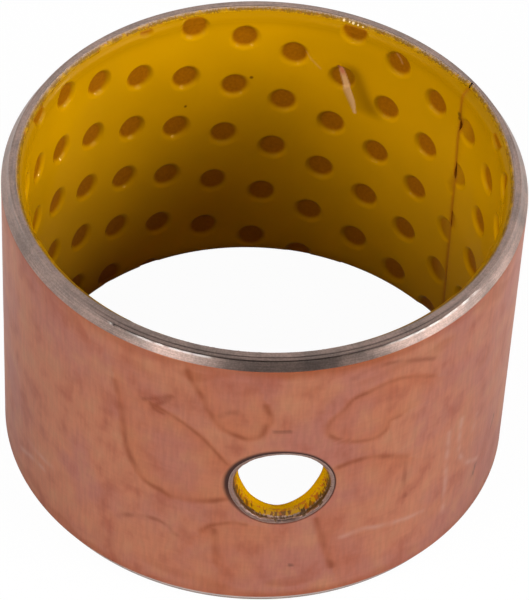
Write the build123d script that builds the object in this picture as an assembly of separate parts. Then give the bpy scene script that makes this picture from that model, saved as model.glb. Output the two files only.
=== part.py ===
from build123d import *
import math
import os

# Wrapped plain bush, 40 x 44 x 30 mm. A flat strip of steel, sintered bronze and acetal, bonded to each other, is
# embossed with grease pockets, drilled, rolled up until its ends meet in a seam, and turned at both ends. The steel
# has a thin flash of copper outside. Millimetres and degrees. The bore lies along +Z with the lower end at Z 0, and
# the lubrication hole points to -Y.

# Finished bush
BORE = 40.0
LENGTH = 30.0

# Wall, from the bore outwards
LINER_WALL = 0.5
BRONZE_WALL = 0.3
STEEL_WALL = 1.18
COPPER_WALL = 0.02

# Turned ends. The inner chamfer takes the two soft layers and stops at the steel
OUTER_CHAMFER_ACROSS = 0.65
OUTER_CHAMFER_DOWN = 1.0
INNER_CHAMFER_DOWN = 0.92

# Seam between the strip's ends, whose outer corners are broken
SEAM_ANGLE = 27.2
SEAM_GAP = 0.2
SEAM_BREAK = 0.15

# Lubrication hole, midway along the bush
HOLE = 8.0
HOLE_BREAK = 0.3
HOLE_ANGLE = 270.0

# Grease pockets: shallow, nearly round recesses with a flat floor
POCKET = 2.4
POCKET_SKIN = 0.12
POCKET_SIDES = 10

# Their pattern on the flat strip, round it from the seam and up it from its lower edge
PATTERN_ROUND = 1.25
PATTERN_UP = 7.05
ROW_ROUND = 4.445
ROW_UP = 1.70
COLUMN_BACK = 0.765
COLUMN_UP = 5.717

# Between these places the embossing creeps along the strip and up it
CREEP_FROM = 52.0
CREEP_TO = 112.0
CREEP_ROUND = -0.38
CREEP_UP = 1.53

# Gouge in the liner, from its deep end to the place where it runs out, each as (round, up)
GOUGE_FROM = (13.2, 24.9)
GOUGE_TO = (11.3, 19.9)
GOUGE_WIDTH = 0.9
GOUGE_SKIN = 0.05

BORE_RADIUS = BORE / 2
LINER_RADIUS = BORE_RADIUS + LINER_WALL
BRONZE_RADIUS = LINER_RADIUS + BRONZE_WALL
STEEL_RADIUS = BRONZE_RADIUS + STEEL_WALL
OUTSIDE_RADIUS = STEEL_RADIUS + COPPER_WALL
STRIP_LENGTH = math.pi * BORE
POCKET_DEPTH = LINER_WALL - POCKET_SKIN
GOUGE_DEPTH = LINER_WALL - GOUGE_SKIN
TOOL_OVERRUN = 1.0


def on_strip(round_strip, up, radius):
    """Frame at a place of the rolled strip, with X up the bush and Z out through the wall."""
    angle = math.radians(SEAM_ANGLE) + round_strip / BORE_RADIUS
    outwards = Vector(math.cos(angle), math.sin(angle), 0)
    return Plane(origin=outwards * radius + Vector(0, 0, up), x_dir=(0, 0, 1), z_dir=outwards)


def wall_section():
    """Half section of the whole wall, from the axis outwards in X and along the bush in Y."""
    return make_face(
        Polyline(
            (BORE_RADIUS, INNER_CHAMFER_DOWN),
            (BRONZE_RADIUS, 0),
            (OUTSIDE_RADIUS - OUTER_CHAMFER_ACROSS, 0),
            (OUTSIDE_RADIUS, OUTER_CHAMFER_DOWN),
            (OUTSIDE_RADIUS, LENGTH - OUTER_CHAMFER_DOWN),
            (OUTSIDE_RADIUS - OUTER_CHAMFER_ACROSS, LENGTH),
            (BRONZE_RADIUS, LENGTH),
            (BORE_RADIUS, LENGTH - INNER_CHAMFER_DOWN),
            close=True,
        )
    )


def seam_slot():
    """Slot left between the strip's ends, flared where their corners are broken."""
    gap = SEAM_GAP / 2
    flare = SEAM_BREAK + TOOL_OVERRUN
    corner = OUTSIDE_RADIUS - SEAM_BREAK
    outline = Polyline(
        (BORE_RADIUS - TOOL_OVERRUN, -gap),
        (corner, -gap),
        (corner + flare, -gap - flare),
        (corner + flare, gap + flare),
        (corner, gap),
        (BORE_RADIUS - TOOL_OVERRUN, gap),
        close=True,
    )
    return Rot(Z=SEAM_ANGLE) * extrude(make_face(outline), LENGTH)


def drill(diameter):
    """Drill through one side of the wall, at the lubrication hole."""
    upright = Cylinder(diameter / 2, OUTSIDE_RADIUS + TOOL_OVERRUN, align=(Align.CENTER, Align.CENTER, Align.MIN))
    return Pos(Z=LENGTH / 2) * Rot(Z=HOLE_ANGLE) * Rot(Y=90) * upright


def layer(inner, outer, hole=HOLE):
    """One layer of the rolled and turned wall, with its seam and its lubrication hole."""
    band = Pos(inner, 0) * Rectangle(outer - inner, LENGTH, align=Align.MIN)
    section = Plane.XZ * (wall_section() & band)
    return revolve(Rot(Z=SEAM_ANGLE) * section, Axis.Z) - seam_slot() - drill(hole)


def pocket_places():
    """Centres of the pockets on the strip, as (round, up)."""
    margin = POCKET / 4
    rows = math.ceil(LENGTH / COLUMN_UP)
    columns = math.ceil((STRIP_LENGTH + rows * COLUMN_BACK) / ROW_ROUND)
    climb = math.ceil(columns * ROW_UP / COLUMN_UP)
    places = []
    for column in range(-rows, columns + rows):
        for row in range(-rows - climb, rows + climb):
            round_strip = PATTERN_ROUND + column * ROW_ROUND - row * COLUMN_BACK
            up = PATTERN_UP + column * ROW_UP + row * COLUMN_UP
            crept = min(max((round_strip - CREEP_FROM) / (CREEP_TO - CREEP_FROM), 0), 1)
            round_strip += crept * CREEP_ROUND
            up += crept * CREEP_UP
            if -margin < round_strip < STRIP_LENGTH + margin and -margin < up < LENGTH + margin:
                places.append((round_strip, up))
    return places


def pocket_punch():
    """Punch of one pocket, standing on the liner's surface at the origin, with straight edges that mesh sparely."""
    corners = [Vector(POCKET / 2, 0).rotate(Axis.Z, 360 * side / POCKET_SIDES) for side in range(POCKET_SIDES)]
    edges = [Bezier(corners[side - 1], corners[side]) for side in range(POCKET_SIDES)]
    return Pos(Z=-TOOL_OVERRUN) * extrude(Face(Wire(edges)), TOOL_OVERRUN + POCKET_DEPTH)


def gouge_tool():
    """Blade with a blunt and a pointed end, sunk at the blunt end and level with the liner's surface at the point."""
    blunt = on_strip(*GOUGE_FROM, BORE_RADIUS + GOUGE_DEPTH).origin
    point = on_strip(*GOUGE_TO, BORE_RADIUS)
    along = blunt - point.origin
    length = along.length
    half = GOUGE_WIDTH / 2
    floor = Plane(origin=point.origin, x_dir=along, z_dir=along.cross(point.z_dir).cross(along))
    outline = Polyline((0, 0), (length - half, -half), (length, 0), (length - half, half), close=True)
    return floor * extrude(make_face(outline), -TOOL_OVERRUN)


def acetal_liner():
    """Running surface, with its pockets and its gouge."""
    punch = pocket_punch()
    pockets = [on_strip(*place, BORE_RADIUS) * punch for place in pocket_places()]
    return layer(BORE_RADIUS, LINER_RADIUS) - pockets - gouge_tool()


def bronze_interlayer():
    """Sintered bronze that keys the acetal to the steel."""
    return layer(LINER_RADIUS, BRONZE_RADIUS)


def steel_backing():
    """Load-carrying back, with the outer edge of its hole broken."""
    back = layer(BRONZE_RADIUS, STEEL_RADIUS)
    hole_mouth = back.edges().filter_by(GeomType.BSPLINE).sort_by(Axis.Y)[0]
    return chamfer(hole_mouth, HOLE_BREAK)


def copper_plating():
    """Copper flash outside, cut away with the end chamfers and the edge of the hole."""
    return layer(STEEL_RADIUS, OUTSIDE_RADIUS, HOLE + 2 * HOLE_BREAK)


os.makedirs("parts", exist_ok=True)
for piece in (acetal_liner, bronze_interlayer, steel_backing, copper_plating):
    export_step(piece(), f"parts/{piece.__name__}.step")
print(len(pocket_places()), "grease pockets,", round(POCKET_DEPTH, 3), "mm deep")
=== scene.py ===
"""Wrapped plain bearing bush, 40 x 44 x 30 mm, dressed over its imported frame.

A strip of steel with sintered bronze and acetal bonded to it is embossed with grease pockets, drilled and rolled up
into a bush. Each layer is made here as it is in the shop: laid flat, cut, embossed and then rolled. Lengths are in
millimetres until a mesh is handed to Blender, which works in metres. A place on the flat strip is (round, up, depth):
the arc along the bore from the seam, the height above the lower end, and the depth into the wall from the bore.
"""

import logging
import math
from collections.abc import Sequence
from dataclasses import dataclass, field
from enum import Enum
from functools import partial

import bpy
import numpy as np
from mathutils import Matrix, Vector, noise
from mathutils.geometry import delaunay_2d_cdt


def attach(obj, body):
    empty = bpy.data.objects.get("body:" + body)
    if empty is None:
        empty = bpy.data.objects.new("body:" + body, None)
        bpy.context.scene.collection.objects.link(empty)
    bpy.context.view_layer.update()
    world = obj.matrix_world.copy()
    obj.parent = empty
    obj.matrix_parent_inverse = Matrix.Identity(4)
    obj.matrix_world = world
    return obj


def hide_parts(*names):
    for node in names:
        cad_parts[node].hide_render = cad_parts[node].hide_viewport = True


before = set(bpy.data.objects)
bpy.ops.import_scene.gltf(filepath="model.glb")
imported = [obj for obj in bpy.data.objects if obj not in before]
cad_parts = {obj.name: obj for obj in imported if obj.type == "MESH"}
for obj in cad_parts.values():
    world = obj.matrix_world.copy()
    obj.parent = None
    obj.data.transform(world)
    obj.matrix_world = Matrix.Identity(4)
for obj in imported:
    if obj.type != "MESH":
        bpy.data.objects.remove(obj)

MM = 0.001
LOG = logging.getLogger("bush")
Chain = Sequence[tuple[float, float]]

# Longest steps up the wall in millimetres: one stretch below the patch round the hole, short ones beside it, one above.
UP_THE_WALL = [9.0, 0.65, 9.0]


# ---------------------------- helpers


def linear(code: str) -> tuple[float, float, float, float]:
    """Turns an sRGB hex colour into Blender's linear one.

    Args:
        code: Colour as #RRGGBB.

    Returns:
        Linear red, green, blue and an alpha of one.
    """
    parts = [int(code[i : i + 2], 16) / 255 for i in (1, 3, 5)]
    red, green, blue = (p / 12.92 if p <= 0.04045 else ((p + 0.055) / 1.055) ** 2.4 for p in parts)
    return red, green, blue, 1.0


def add_node(
    tree: bpy.types.NodeTree, kind: str, inputs: dict | tuple = (), out: str | int = 0, **settings: object
) -> bpy.types.NodeSocket | None:
    """Adds a node to a tree, with its settings, its values and its links.

    Args:
        tree: Shader or geometry node tree.
        kind: Blender's name of the node type.
        inputs: For each input, in order or by name or number, a value or the output socket that feeds it.
        out: Name or number of the output that is wanted.
        settings: Properties of the node itself.

    Returns:
        That output of the new node, or nothing from a node that has none.
    """
    node = tree.nodes.new(kind)
    for name, value in settings.items():
        setattr(node, name, value)
    for key, value in inputs.items() if isinstance(inputs, dict) else enumerate(inputs):
        if isinstance(value, bpy.types.NodeSocket):
            tree.links.new(value, node.inputs[key])
        else:
            node.inputs[key].default_value = value
    return node.outputs[out] if node.outputs else None


def smooth(value: np.ndarray | float, low: float, high: float) -> np.ndarray:
    """Smooth step of a value between two limits.

    Args:
        value: Numbers to step.
        low: Where the step begins, at 0.
        high: Where it ends, at 1.

    Returns:
        The step, from 0 to 1.
    """
    t = np.clip((np.asarray(value, float) - low) / (high - low), 0, 1)
    return t * t * (3 - 2 * t)


def ripple(points: np.ndarray, size: float, seed: float) -> np.ndarray:
    """Smooth random relief at places in space.

    Args:
        points: Places, one row each.
        size: Distance over which the relief changes.
        seed: Number that picks one relief of many.

    Returns:
        Relief from about -1 to 1 at each place.
    """
    shift = Vector((seed * 17.3, seed * 5.1, seed * 9.7))
    return np.array([noise.noise(Vector(p) / size + shift) for p in points.tolist()])


def bell(away: np.ndarray, width: float | np.ndarray) -> np.ndarray:
    """Bell curve of a distance: 1 at none, 0.37 at the width."""
    return np.exp(-((away / width) ** 2))


def nearest(numbers: np.ndarray, wanted: float) -> int:
    """Index of the number that lies nearest to a wanted one."""
    return int(np.argmin(abs(numbers - wanted)))


def net(across: tuple[float, float], up: tuple[float, float], step: float) -> np.ndarray:
    """Even grid of places on the strip between two limits each way, as rows of (round, up)."""
    return np.stack(np.meshgrid(np.arange(*across, step), np.arange(*up, step)), -1).reshape(-1, 2)


def heading(azimuth: float, elevation: float) -> Vector:
    """Direction by compass azimuth from +Y to +X and by elevation, both in degrees."""
    turn, rise = math.radians(azimuth), math.radians(elevation)
    return Vector((math.sin(turn) * math.cos(rise), math.cos(turn) * math.cos(rise), math.sin(rise)))


def spaced(keys: list[float] | Chain, steps: list[float]) -> np.ndarray:
    """Divides the stretches between key numbers, or between corners given as (up, depth), evenly.

    Args:
        keys: Numbers or corners that are kept, in order.
        steps: Longest step of each stretch, one less than the keys.

    Returns:
        All numbers or corners, the keys among them.
    """
    ends = np.array(keys, float)
    found = [ends[:1]]
    for start, end, step in zip(ends, ends[1:], steps):
        count = max(1, math.ceil(np.linalg.norm(end - start) / step - 1e-9))
        found.append(np.linspace(start, end, count + 1)[1:])
    return np.concatenate(found)


def curved(corners: Chain, parts: int = 6) -> Chain:
    """Turns a bent line into a smooth one through the same corners.

    Args:
        corners: Corners of the line.
        parts: Straight parts between two corners.

    Returns:
        Corners of the smooth line.
    """
    line = np.array([corners[0], *corners, corners[-1]], float)
    found = [line[1]]
    for before, start, end, after in zip(line, line[1:], line[2:], line[3:]):
        for t in np.linspace(0, 1, parts + 1)[1:]:
            pull = (2 * before - 5 * start + 4 * end - after) * t * t + (3 * start - before - 3 * end + after) * t**3
            found.append(start + 0.5 * ((end - before) * t + pull))
    return [tuple(place) for place in found]


def from_curve(points: np.ndarray, curve: Chain) -> np.ndarray:
    """Distance of places on the strip from a bent line drawn on it.

    Args:
        points: Places whose first two numbers are (round, up).
        curve: Corners of the line as (round, up).

    Returns:
        Distance of each place, positive on the left of the line and negative on its right.
    """
    best = np.full(len(points), np.inf)
    side = np.ones(len(points))
    for start, end in zip(np.array(curve[:-1]), np.array(curve[1:])):
        run = end - start
        out = points[:, :2] - start
        t = np.clip((out @ run) / (run @ run), 0, 1)
        reach = np.hypot(*(out - t[:, None] * run).T)
        nearer = reach < best
        best[nearer] = reach[nearer]
        side[nearer] = np.where(run[0] * out[nearer, 1] - run[1] * out[nearer, 0] < 0, -1, 1)
    return best * side


# ---------------------------- the flat strip


@dataclass(frozen=True)
class Strip:
    """Sizes that the layers of the rolled strip share, in millimetres and degrees."""

    bore: float = 20.0
    height: float = 30.0
    seam_angle: float = 27.2
    seam_gap: float = 0.2
    hole_angle: float = 270.0
    hole_up: float = 15.0
    hole: float = 4.0
    patch: float = 5.2
    filed_reach: float = 12.0
    lean_over: float = 0.36
    # Angle about the drill, and radii of the hole there: at the bore, within the wall and outside.
    mouth: tuple[tuple[float, float, float, float], ...] = (
        (-180, 3.44, 3.9, 3.99), (-150, 3.44, 3.88, 3.9), (-120, 3.9, 4.1, 4.02), (-90, 4.38, 4.24, 4.08),
        (-60, 4.02, 4.36, 4.13), (-30, 3.66, 4.24, 4.17), (0, 3.72, 4.12, 4.1), (30, 3.8, 4.0, 3.97),
        (60, 3.9, 4.04, 3.93), (90, 4.0, 4.1, 3.94), (120, 3.8, 4.1, 4.05), (150, 3.56, 4.02, 4.12),
        (180, 3.44, 3.9, 3.99),
    )  # fmt: skip

    @property
    def length(self) -> float:
        """Length of the strip along the bore."""
        return math.tau * self.bore

    @property
    def hole_round(self) -> float:
        """Place of the hole along the strip."""
        return math.radians(self.hole_angle - self.seam_angle) * self.bore

    @property
    def edges(self) -> tuple[float, float]:
        """Places of the two seam edges along the strip."""
        return self.seam_gap / 2, self.length - self.seam_gap / 2

    @property
    def patch_rows(self) -> tuple[float, float]:
        """Heights of the lower and the upper side of the patch round the hole."""
        return self.hole_up - self.patch, self.hole_up + self.patch

    def hole_plane(self, points: np.ndarray) -> tuple[np.ndarray, np.ndarray]:
        """Looks down the drill at places on the strip.

        Args:
            points: Places as (round, up, depth).

        Returns:
            Distance from the drill's axis and angle about it.
        """
        turn = (points[:, 0] - self.hole_round) / self.bore
        # Places on the far half of the bush, which the drill doesn't meet, are put well away from its axis.
        across = (self.bore + points[:, 2]) * np.where(np.cos(turn) > 0, np.sin(turn), 9.0)
        rise = points[:, 1] - self.hole_up
        return np.hypot(across, rise), np.arctan2(rise, across)

    def drilled(self, radius: np.ndarray, angle: np.ndarray, depth: np.ndarray) -> np.ndarray:
        """Places on the strip that lie round the drill.

        Args:
            radius: Distance from the drill's axis.
            angle: Angle about it.
            depth: Depth in the wall.

        Returns:
            Places as (round, up, depth).
        """
        across = radius * np.cos(angle)
        round_strip = self.hole_round + self.bore * np.arcsin(across / (self.bore + depth))
        return np.column_stack([round_strip, self.hole_up + radius * np.sin(angle), depth])

    def relieve(self, flat: np.ndarray) -> None:
        """Works the ends near the seam: a wider filed chamfer below, and soft layers pushed outwards above.

        Args:
            flat: Points as (round, up, depth), changed in place.
        """
        after, before = abs(flat[:, 0]), abs(self.length - flat[:, 0])
        near = np.minimum(after, before)
        rise = 1.0 + 0.5 * np.exp(-near / 4.0) - 0.97 * flat[:, 2]
        cut = (near < self.filed_reach) & (flat[:, 2] < 1.33) & (flat[:, 1] < rise)
        flat[cut, 1] = rise[cut]
        depth = flat[:, 2]
        soft = smooth(depth, 0.0, 0.5) * (1 - smooth(depth, 0.8, 1.33)) * smooth(flat[:, 1], 29.0, 29.6)
        flat[:, 2] += soft * np.maximum(0.34 * bell(after, 1.5), 0.27 * bell(before, 7.0))
        flat[:, 2] += 0.07 * soft * bell(before, 1.2)

    def lean(self, flat: np.ndarray, close: float) -> None:
        """Leans the seam's upper end over, and closes it in the middle of the wall.

        Args:
            flat: Points as (round, up, depth), changed in place.
            close: Part of half the gap that is closed.
        """
        for end, sign in zip(self.edges, (1, -1)):
            far = abs(flat[:, 0] - end)
            tight = smooth(flat[:, 2], 1.05, 1.2) * bell(far, 0.3)
            lean = self.lean_over * smooth(flat[:, 1], 26.0, 30.0) * np.exp(-far / 1.5)
            flat[:, 0] += lean - sign * close * tight

    def pull_mouth(self, flat: np.ndarray) -> None:
        """Pulls the hole out of round, as the drill's burr and the rolling have left it.

        Args:
            flat: Points as (round, up, depth), changed in place.
        """
        away, angle = self.hole_plane(flat)
        near = away < self.patch
        away, angle, depth = away[near], angle[near], flat[near, 2]
        radii = []
        for column in (1, 2, 3):
            line = np.array(curved([(math.radians(row[0]), row[column]) for row in self.mouth]))
            radii.append(np.interp(angle, line[:, 0], line[:, 1]))
        wall, back = np.clip(depth / 1.6, 0, 1), np.clip((depth - 1.6) / 0.35, 0, 1)
        radius = radii[0] + (radii[1] - radii[0]) * wall + (radii[2] - radii[1]) * back
        pull = (radius / self.hole - 1) * (1 - smooth(away, 4.4, self.patch))
        flat[near] = self.drilled(away * (1 + pull), angle, depth)

    def columns(self, keys: list[float], steps: list[float]) -> np.ndarray:
        """Places of the mesh's columns along the strip, with lines at both sides of the hole's patch.

        Args:
            keys: Other places that are kept.
            steps: Longest step of each stretch.

        Returns:
            All places in order.
        """
        sides = [self.hole_round - self.patch, self.hole_round + self.patch]
        return spaced(sorted([*self.edges, *sides, *keys]), steps)


@dataclass
class FlatLayer:
    """Closed mesh of one layer of the strip, laid flat, with the hole through it.

    The bore side runs up and the outside runs down, so that the two close into a section of the layer. Round the
    hole both sides have rings that pass from a square in the grid to a circle. With dots, the bore side is a net of
    triangles between them instead, fine only where it has to be.
    """

    strip: Strip
    columns: np.ndarray
    bore_side: np.ndarray
    outside: np.ndarray
    bore_rings: list[float]
    outer_rings: list[float]
    wall: Chain
    blends: int = 4
    dots: np.ndarray | None = None
    points: np.ndarray = field(init=False)
    faces: list[tuple[int, ...]] = field(init=False)

    def __post_init__(self) -> None:
        """Builds the points and the faces."""
        section = np.concatenate([self.bore_side, self.outside])
        count, rows = len(self.columns), len(section)
        grid = np.empty((count, rows, 3))
        grid[:, :, 0] = self.columns[:, None]
        grid[:, :, 1:] = section[None]
        self.points = grid.reshape(-1, 3)
        self.faces = []
        left = nearest(self.columns, self.strip.hole_round - self.strip.patch)
        right = nearest(self.columns, self.strip.hole_round + self.strip.patch)
        bore_low, bore_high = (nearest(self.bore_side[:, 0], up) for up in self.strip.patch_rows)
        out_low, out_high = (len(self.bore_side) + nearest(self.outside[:, 0], up) for up in self.strip.patch_rows)
        across, along = np.meshgrid(np.arange(count - 1), np.arange(rows), indexing="ij")
        inside = (across >= left) & (across < right)
        cut = inside & (((along >= bore_low) & (along < bore_high)) | ((along >= out_high) & (along < out_low)))
        if self.dots is not None:
            cut |= along < len(self.bore_side) - 1
        i, m = across[~cut], along[~cut]
        n = (m + 1) % rows
        quads = np.column_stack([i * rows + m, i * rows + n, (i + 1) * rows + n, (i + 1) * rows + m])
        self.faces.extend(map(tuple, quads.tolist()))

        out_loop = self._square(left, right, out_low, out_high, rows)
        out_rim = self._rings(out_loop, self.outer_rings, flip=False)
        angles = self.strip.hole_plane(self.points[out_rim])[1]
        if self.dots is None:
            bore_loop = self._square(left, right, bore_low, bore_high, rows)
            bore_rim = self._rings(bore_loop, self.bore_rings, flip=True)
        else:
            bore_rim = self._net(count, rows, angles)
        for radius, depth in self.wall:
            ring = self._add(self.strip.drilled(np.full(len(angles), radius), angles, np.full(len(angles), depth)))
            self._band(out_rim, ring, flip=False)
            out_rim = ring
        self._zip(out_rim, bore_rim, self._turns(out_rim), self._turns(bore_rim), closed=True, flip=False)

        for column, flip in ((0, True), (count - 1, False)):
            bore = [column * rows + m for m in range(len(self.bore_side))]
            outer = [column * rows + m for m in range(rows - 1, len(self.bore_side) - 1, -1)]
            self._zip(bore, outer, self.points[bore, 1], self.points[outer, 1], closed=False, flip=flip)
        self._drop_unused()

    def _square(self, left: int, right: int, low: int, high: int, rows: int) -> list[int]:
        """Points of the grid on the patch's outline, from its lower left corner round to the right."""
        up = range(low, high) if low < high else range(low, high, -1)
        down = range(high, low, -1) if low < high else range(high, low)
        loop = [i * rows + low for i in range(left, right)]
        loop += [right * rows + m for m in up]
        loop += [i * rows + high for i in range(right, left, -1)]
        return loop + [left * rows + m for m in down]

    def _net(self, count: int, rows: int, angles: np.ndarray) -> list[int]:
        """Fills the bore side with triangles between its outline, its dots and the hole.

        Args:
            count: Columns of the grid.
            rows: Rows of the grid.
            angles: Angles of the hole's points about the drill.

        Returns:
            Points of the hole's edge.
        """
        top = len(self.bore_side) - 1
        outline = [i * rows for i in range(count)] + [(count - 1) * rows + m for m in range(1, top + 1)]
        outline += [i * rows + top for i in range(count - 2, -1, -1)] + list(range(top - 1, 0, -1))
        inner = self._add(np.column_stack([self.dots, np.interp(self.dots[:, 1], *self.bore_side.T)]))
        edge = self._add(self.strip.drilled(np.full(len(angles), self.bore_rings[-1]), angles, np.zeros(len(angles))))
        used = np.array(outline + inner + edge)
        first = len(used) - len(edge)
        border = [(k, (k + 1) % len(outline)) for k in range(len(outline))]
        mouth = [(first + k, first + (k + 1) % len(edge)) for k in range(len(edge))]
        flat = [Vector(place) for place in self.points[used, :2].tolist()]
        _, _, faces, origin, _, _ = delaunay_2d_cdt(flat, border + mouth, [], 1, 1e-6)
        for face in faces:
            corners = [origin[v][0] for v in face]
            if min(corners) < first:
                self.faces.append(tuple(int(used[v]) for v in corners[::-1]))
        return edge

    def _add(self, points: np.ndarray) -> list[int]:
        """Adds points and returns their numbers."""
        start = len(self.points)
        self.points = np.concatenate([self.points, points])
        return list(range(start, start + len(points)))

    def _band(self, first: list[int], second: list[int], flip: bool) -> None:
        """Adds quads between two rings with as many points."""
        count = len(first)
        for j in range(count):
            k = (j + 1) % count
            quad = (first[j], first[k], second[k], second[j])
            self.faces.append(quad[::-1] if flip else quad)

    def _rings(self, loop: list[int], radii: list[float], flip: bool) -> list[int]:
        """Fills the patch between its outline and the hole.

        Args:
            loop: Points of the outline.
            radii: Radii of the rings, the last at the hole's edge.
            flip: Whether the faces point to the bore.

        Returns:
            Points of the last ring.
        """
        start = self.points[loop]
        depth = start[:, 2]
        angle = self.strip.hole_plane(start)[1]
        first = self.strip.drilled(np.full(len(loop), radii[0]), angle, depth)
        before = loop
        for step in range(1, self.blends):
            t = step / self.blends
            ring = self._add(start * (1 - t) + first * t)
            self._band(before, ring, flip)
            before = ring
        for radius in radii:
            ring = self._add(self.strip.drilled(np.full(len(loop), radius), angle, depth))
            self._band(before, ring, flip)
            before = ring
        return before

    def _turns(self, ring: list[int]) -> np.ndarray:
        """Angle of a ring's points about the drill, rising from the first."""
        return np.unwrap(self.strip.hole_plane(self.points[ring])[1])

    def _zip(
        self, first: list[int], second: list[int], at_first: np.ndarray, at_second: np.ndarray, closed: bool, flip: bool
    ) -> None:
        """Joins two runs of points with triangles.

        Args:
            first: Points of one run.
            second: Points of the other.
            at_first: Number that places each point along the first run.
            at_second: The same for the second run.
            closed: Whether the runs are rings.
            flip: Whether the faces are turned round.
        """
        a, b = list(first), list(second)
        pa, pb = list(at_first), list(at_second)
        if closed:
            a, b = a + a[:1], b + b[:1]
            pa, pb = pa + [pa[0] + math.tau], pb + [pb[0] + math.tau]
        i = j = 0
        while i < len(a) - 1 or j < len(b) - 1:
            if j == len(b) - 1 or (i < len(a) - 1 and pa[i + 1] <= pb[j + 1]):
                face = (a[i], a[i + 1], b[j])
                i += 1
            else:
                face = (a[i], b[j + 1], b[j])
                j += 1
            self.faces.append(face[::-1] if flip else face)

    def _drop_unused(self) -> None:
        """Leaves out the grid points inside the patch, which no face uses."""
        used = np.unique(np.concatenate([np.array(face) for face in self.faces]))
        number = np.full(len(self.points), -1)
        number[used] = np.arange(len(used))
        self.points = self.points[used]
        self.faces = [tuple(int(number[v]) for v in face) for face in self.faces]

    def mesh(self, name: str, marks: dict[str, np.ndarray]) -> bpy.types.Mesh:
        """Makes Blender's mesh of the flat layer.

        Args:
            name: Name of the mesh.
            marks: Named numbers for each point, which the finishes read.

        Returns:
            The mesh, in metres.
        """
        mesh = bpy.data.meshes.new(name)
        mesh.from_pydata((self.points * MM).tolist(), [], self.faces)
        for mark, values in marks.items():
            layer = mesh.attributes.new(mark, "FLOAT", "POINT")
            layer.data.foreach_set("value", np.ascontiguousarray(values, np.float32))
        mesh.update()
        return mesh


# ---------------------------- node trees


class Tree:
    """A geometry node tree with named inputs, which works on a mesh and gives it a material; add adds a node."""

    def __init__(self, name: str, numbers: dict[str, float | int]) -> None:
        """Starts a tree with its inputs.

        Args:
            name: Name of the tree.
            numbers: Named inputs with the values they start at.
        """
        self.tree = bpy.data.node_groups.new(name, "GeometryNodeTree")
        face = self.tree.interface
        face.new_socket("Geometry", in_out="INPUT", socket_type="NodeSocketGeometry")
        face.new_socket("Geometry", in_out="OUTPUT", socket_type="NodeSocketGeometry")
        for key, value in numbers.items():
            kind = "NodeSocketInt" if isinstance(value, int) else "NodeSocketFloat"
            face.new_socket(key, in_out="INPUT", socket_type=kind).default_value = value
        face.new_socket("Material", in_out="INPUT", socket_type="NodeSocketMaterial")
        self.add = partial(add_node, self.tree)
        self.given = self.add("NodeGroupInput").node.outputs

    def close(self, geometry: bpy.types.NodeSocket) -> None:
        """Ends the tree with real geometry and its material.

        Args:
            geometry: What the tree has made.
        """
        real = self.add("GeometryNodeRealizeInstances", (geometry,))
        painted = self.add("GeometryNodeSetMaterial", {"Geometry": real, "Material": self.given["Material"]})
        self.add("NodeGroupOutput", (painted,))

    def put_on(self, piece: bpy.types.Object, values: dict[str, object]) -> None:
        """Adds the tree to an object as a modifier.

        Args:
            piece: The object.
            values: Named inputs of the modifier, among them the material.
        """
        modifier = piece.modifiers.new(self.tree.name, "NODES")
        modifier.node_group = self.tree
        for item in self.tree.interface.items_tree:
            if item.in_out == "INPUT" and item.name in values:
                modifier[item.identifier] = values[item.name]


def rolling_tree(strip: Strip) -> Tree:
    """Tree that rolls a flat layer round the bore, and keeps each point's flat place for the finishes.

    Args:
        strip: Sizes of the strip.

    Returns:
        The tree.
    """
    tree = Tree("Roll strip", {"Bore Radius": strip.bore * MM, "Seam Angle": math.radians(strip.seam_angle)})
    flat = tree.add("GeometryNodeInputPosition")
    inputs = {"Geometry": tree.given["Geometry"], "Name": "strip", "Value": flat}
    kept = tree.add("GeometryNodeStoreNamedAttribute", inputs, data_type="FLOAT_VECTOR", domain="POINT")
    place = tree.add("ShaderNodeSeparateXYZ", (flat,)).node.outputs
    turn = tree.add("ShaderNodeMath", (place["X"], tree.given["Bore Radius"]), operation="DIVIDE")
    angle = tree.add("ShaderNodeMath", (turn, tree.given["Seam Angle"]), operation="ADD")
    reach = tree.add("ShaderNodeMath", (place["Z"], tree.given["Bore Radius"]), operation="ADD")
    rolled = {"Z": place["Y"]}
    for axis, operation in (("X", "COSINE"), ("Y", "SINE")):
        share = tree.add("ShaderNodeMath", (angle,), operation=operation)
        rolled[axis] = tree.add("ShaderNodeMath", (reach, share), operation="MULTIPLY")
    rolled = tree.add("ShaderNodeCombineXYZ", rolled)
    tree.close(tree.add("GeometryNodeSetPosition", {"Geometry": kept, "Position": rolled}))
    return tree


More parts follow.
